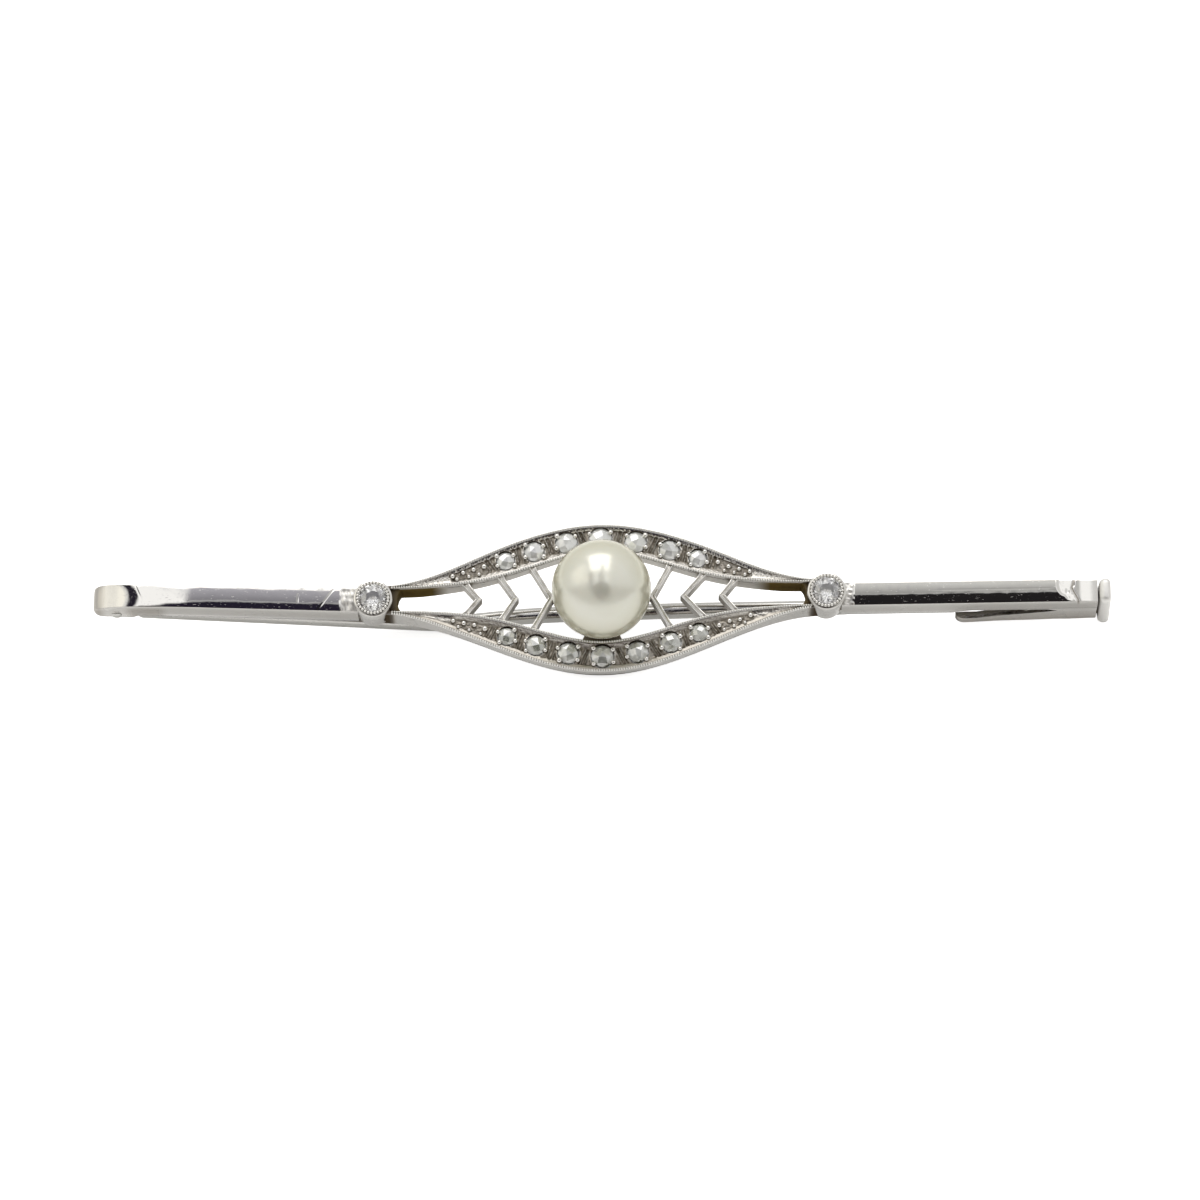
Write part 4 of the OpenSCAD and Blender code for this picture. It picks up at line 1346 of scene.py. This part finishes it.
def makeFloor():
    f = floorShape
    size = f["half"]
    mesh = bpy.data.meshes.new("floor")
    mesh.from_pydata([(-size, -size, 0), (size, -size, 0), (size, size, 0), (-size, size, 0)], [], [(0, 1, 2, 3)])
    floor = inScene("floor", mesh)
    material, tree, shader = newMaterial("paleFloor")
    patches = noiseAt(tree, None, f["patchScale"])
    feed(tree, shader.inputs["Base Color"], mixColour(tree, patches, f["colour"], f["paler"]))
    shader.inputs["Roughness"].default_value = f["roughness"]
    seen = node(tree, "ShaderNodeLightPath").outputs["Is Camera Ray"]
    glow = mixColour(tree, seen, (f["metalGlow"],) * 3, (f["seenGlow"],) * 3)
    feed(tree, shader.inputs["Emission Color"], glow)
    shader.inputs["Emission Strength"].default_value = 1.0
    mesh.materials.append(material)


makeFloor()

# camera: its height in degrees above the brooch's own face, its roll in degrees, its distance in metres,
# the width in mm that it takes in, and how far it aims past the brooch's middle, in mm
cameraView = {
    "ownElevation": 73.0, "roll": 0.945, "distance": 0.5, "across": 1200 / 16.44, "offset": (-0.091, -0.219),
    "sensor": 36, "clip": (0.01, 10),
}


def makeCamera():
    c = cameraView
    elevation, roll = math.radians(c["ownElevation"]) - leanAngle, math.radians(c["roll"])
    towards = Vector((0, -math.cos(elevation), math.sin(elevation)))
    right = Vector((1, 0, 0))
    up = towards.cross(right)
    rolledRight = right * math.cos(roll) - up * math.sin(roll)
    rolledUp = right * math.sin(roll) + up * math.cos(roll)
    target = restMatrix.translation + rolledRight * c["offset"][0] * mm + rolledUp * c["offset"][1] * mm
    data = bpy.data.cameras.new("camera")
    data.sensor_width = c["sensor"]
    data.lens = c["sensor"] * c["distance"] / (c["across"] * mm)
    data.clip_start, data.clip_end = c["clip"]
    camera = inScene("camera", data)
    turn = Matrix((rolledRight, rolledUp, towards)).transposed().to_4x4()
    camera.matrix_world = Matrix.Translation(target + towards * c["distance"]) @ turn
    bpy.context.scene.camera = camera


makeCamera()

# what the polished metal and the pearl mirror. Heights are angles in degrees, 0 at the horizon on the viewer's side and
# 90 straight up, with a softness; places to the side are sines of angles, with a softness too
roomLight = {
    "wall": (0.7912, 0.7869, 0.7654), "ceiling": (0.85, 0.85, 0.85), "wallTurn": (0.2, 0.9),
    "horizon": (8, 44, 8), "horizonColour": (0.53, 0.515, 0.49),
    "window": (58, 114, 8), "windowPlace": (-0.9, -0.5, 0.06), "windowColour": (1.25, 1.22, 1.12),
    "glow": (48, 86, 5), "glowPlace": (-0.3, 0.3, 0.06), "glowColour": (1.25, 1.25, 1.25),
    "strip": (35, 125, 5), "stripPlace": (-0.455, -0.345, 0.03), "stripColour": (0.019, 0.016, 0.028),
    "screen": (56, 85, 5), "screenPlace": (-0.115, 0.115, 0.05), "screenTurn": (-0.03, 0.035),
    "screenLeft": (0.37, 0.365, 0.405), "screenRight": (0.52, 0.52, 0.51), "screenFade": (58, 84, 0.75, 1.5),
    "notch": (78, 97, 5), "notchPlace": (-0.02, 0.115, 0.03),
    "lamp": (84, 128, 5), "lampPlace": (-0.40, 0.30, 0.05), "lampColour": (2.6, 2.574, 2.522),
    "viewerMiddle": 34.5, "viewerTall": 21.5, "viewerSide": 0.36, "viewerSoft": 0.16, "viewerTurn": (20, 30),
    "viewerLow": (0.10, 0.055, 0.045), "viewerTop": (0.019, 0.0175, 0.019),
    "viewerBlue": (0.021, 0.017, 0.033), "bluePlace": (-0.17, -0.02, 0.04),
}


def band(tree, value, low, high, soft):
    up = remap(tree, value, low - soft / 2, low + soft / 2)
    down = remap(tree, value, high + soft / 2, high - soft / 2)
    return product(tree, up, down)


# grey screen over the lens, darker towards its foot, as its mask and its colour
def screenLayer(tree, rise, x, screen, notch):
    r = roomLight
    tint = mixColour(tree, remap(tree, x, *r["screenTurn"]), r["screenLeft"], r["screenRight"])
    fade = node(tree, "ShaderNodeMix", data_type="RGBA", blend_type="MULTIPLY")
    fade.inputs["Factor"].default_value = 1.0
    tree.links.new(tint, fade.inputs[6])
    tree.links.new(remap(tree, rise, *r["screenFade"]), fade.inputs[7])
    return calc(tree, "MAXIMUM", screen, notch), fade.outputs[2]


# dark round shape of the photographer with the camera, as its mask and its colour
def viewerLayer(tree, rise, x):
    r = roomLight
    across = calc(tree, "POWER", calc(tree, "DIVIDE", calc(tree, "ABSOLUTE", x), r["viewerSide"]), 2.0)
    along = calc(tree, "DIVIDE", calc(tree, "SUBTRACT", rise, r["viewerMiddle"]), r["viewerTall"])
    away = calc(tree, "SQRT", calc(tree, "ADD", across, product(tree, along, along)))
    top = mixColour(tree, band(tree, x, *r["bluePlace"]), r["viewerTop"], r["viewerBlue"])
    shape = mixColour(tree, remap(tree, rise, *r["viewerTurn"]), r["viewerLow"], top)
    return remap(tree, away, 1 + r["viewerSoft"] / 2, 1 - r["viewerSoft"] / 2), shape


# pale room with a window at the left, a lamp overhead, a glow round a grey screen, and the photographer
def makeRoom():
    r = roomLight
    world = bpy.data.worlds.new("room")
    bpy.context.scene.world = world
    world.use_nodes = True
    tree = world.node_tree
    tree.nodes.clear()
    out = tree.nodes.new("ShaderNodeOutputWorld")
    background = tree.nodes.new("ShaderNodeBackground")
    tree.links.new(background.outputs[0], out.inputs["Surface"])
    split = node(tree, "ShaderNodeSeparateXYZ")
    tree.links.new(node(tree, "ShaderNodeTexCoord").outputs["Generated"], split.inputs[0])
    x, y, z = split.outputs
    rise = product(tree, calc(tree, "ARCTAN2", z, product(tree, y, -1.0)), 180 / math.pi)
    masks = {key: product(tree, band(tree, rise, *r[key]), band(tree, x, *r[key + "Place"]))
             for key in ("window", "glow", "strip", "screen", "notch", "lamp")}
    lamp = product(tree, masks["lamp"], calc(tree, "SUBTRACT", 1.0, masks["notch"]))
    colour = mixColour(tree, remap(tree, z, *r["wallTurn"]), r["wall"], r["ceiling"])
    layers = [(band(tree, rise, *r["horizon"]), r["horizonColour"]), (masks["window"], r["windowColour"]),
              (masks["glow"], r["glowColour"]), (masks["strip"], r["stripColour"]),
              screenLayer(tree, rise, x, masks["screen"], masks["notch"]), (lamp, r["lampColour"]),
              viewerLayer(tree, rise, x)]
    for mask, tint in layers:
        colour = mixColour(tree, mask, colour, tint)
    tree.links.new(colour, background.inputs["Color"])
    background.inputs["Strength"].default_value = 1.0


makeRoom()
bpy.context.scene.view_settings.view_transform = "Standard"
print("brooch: room ready")
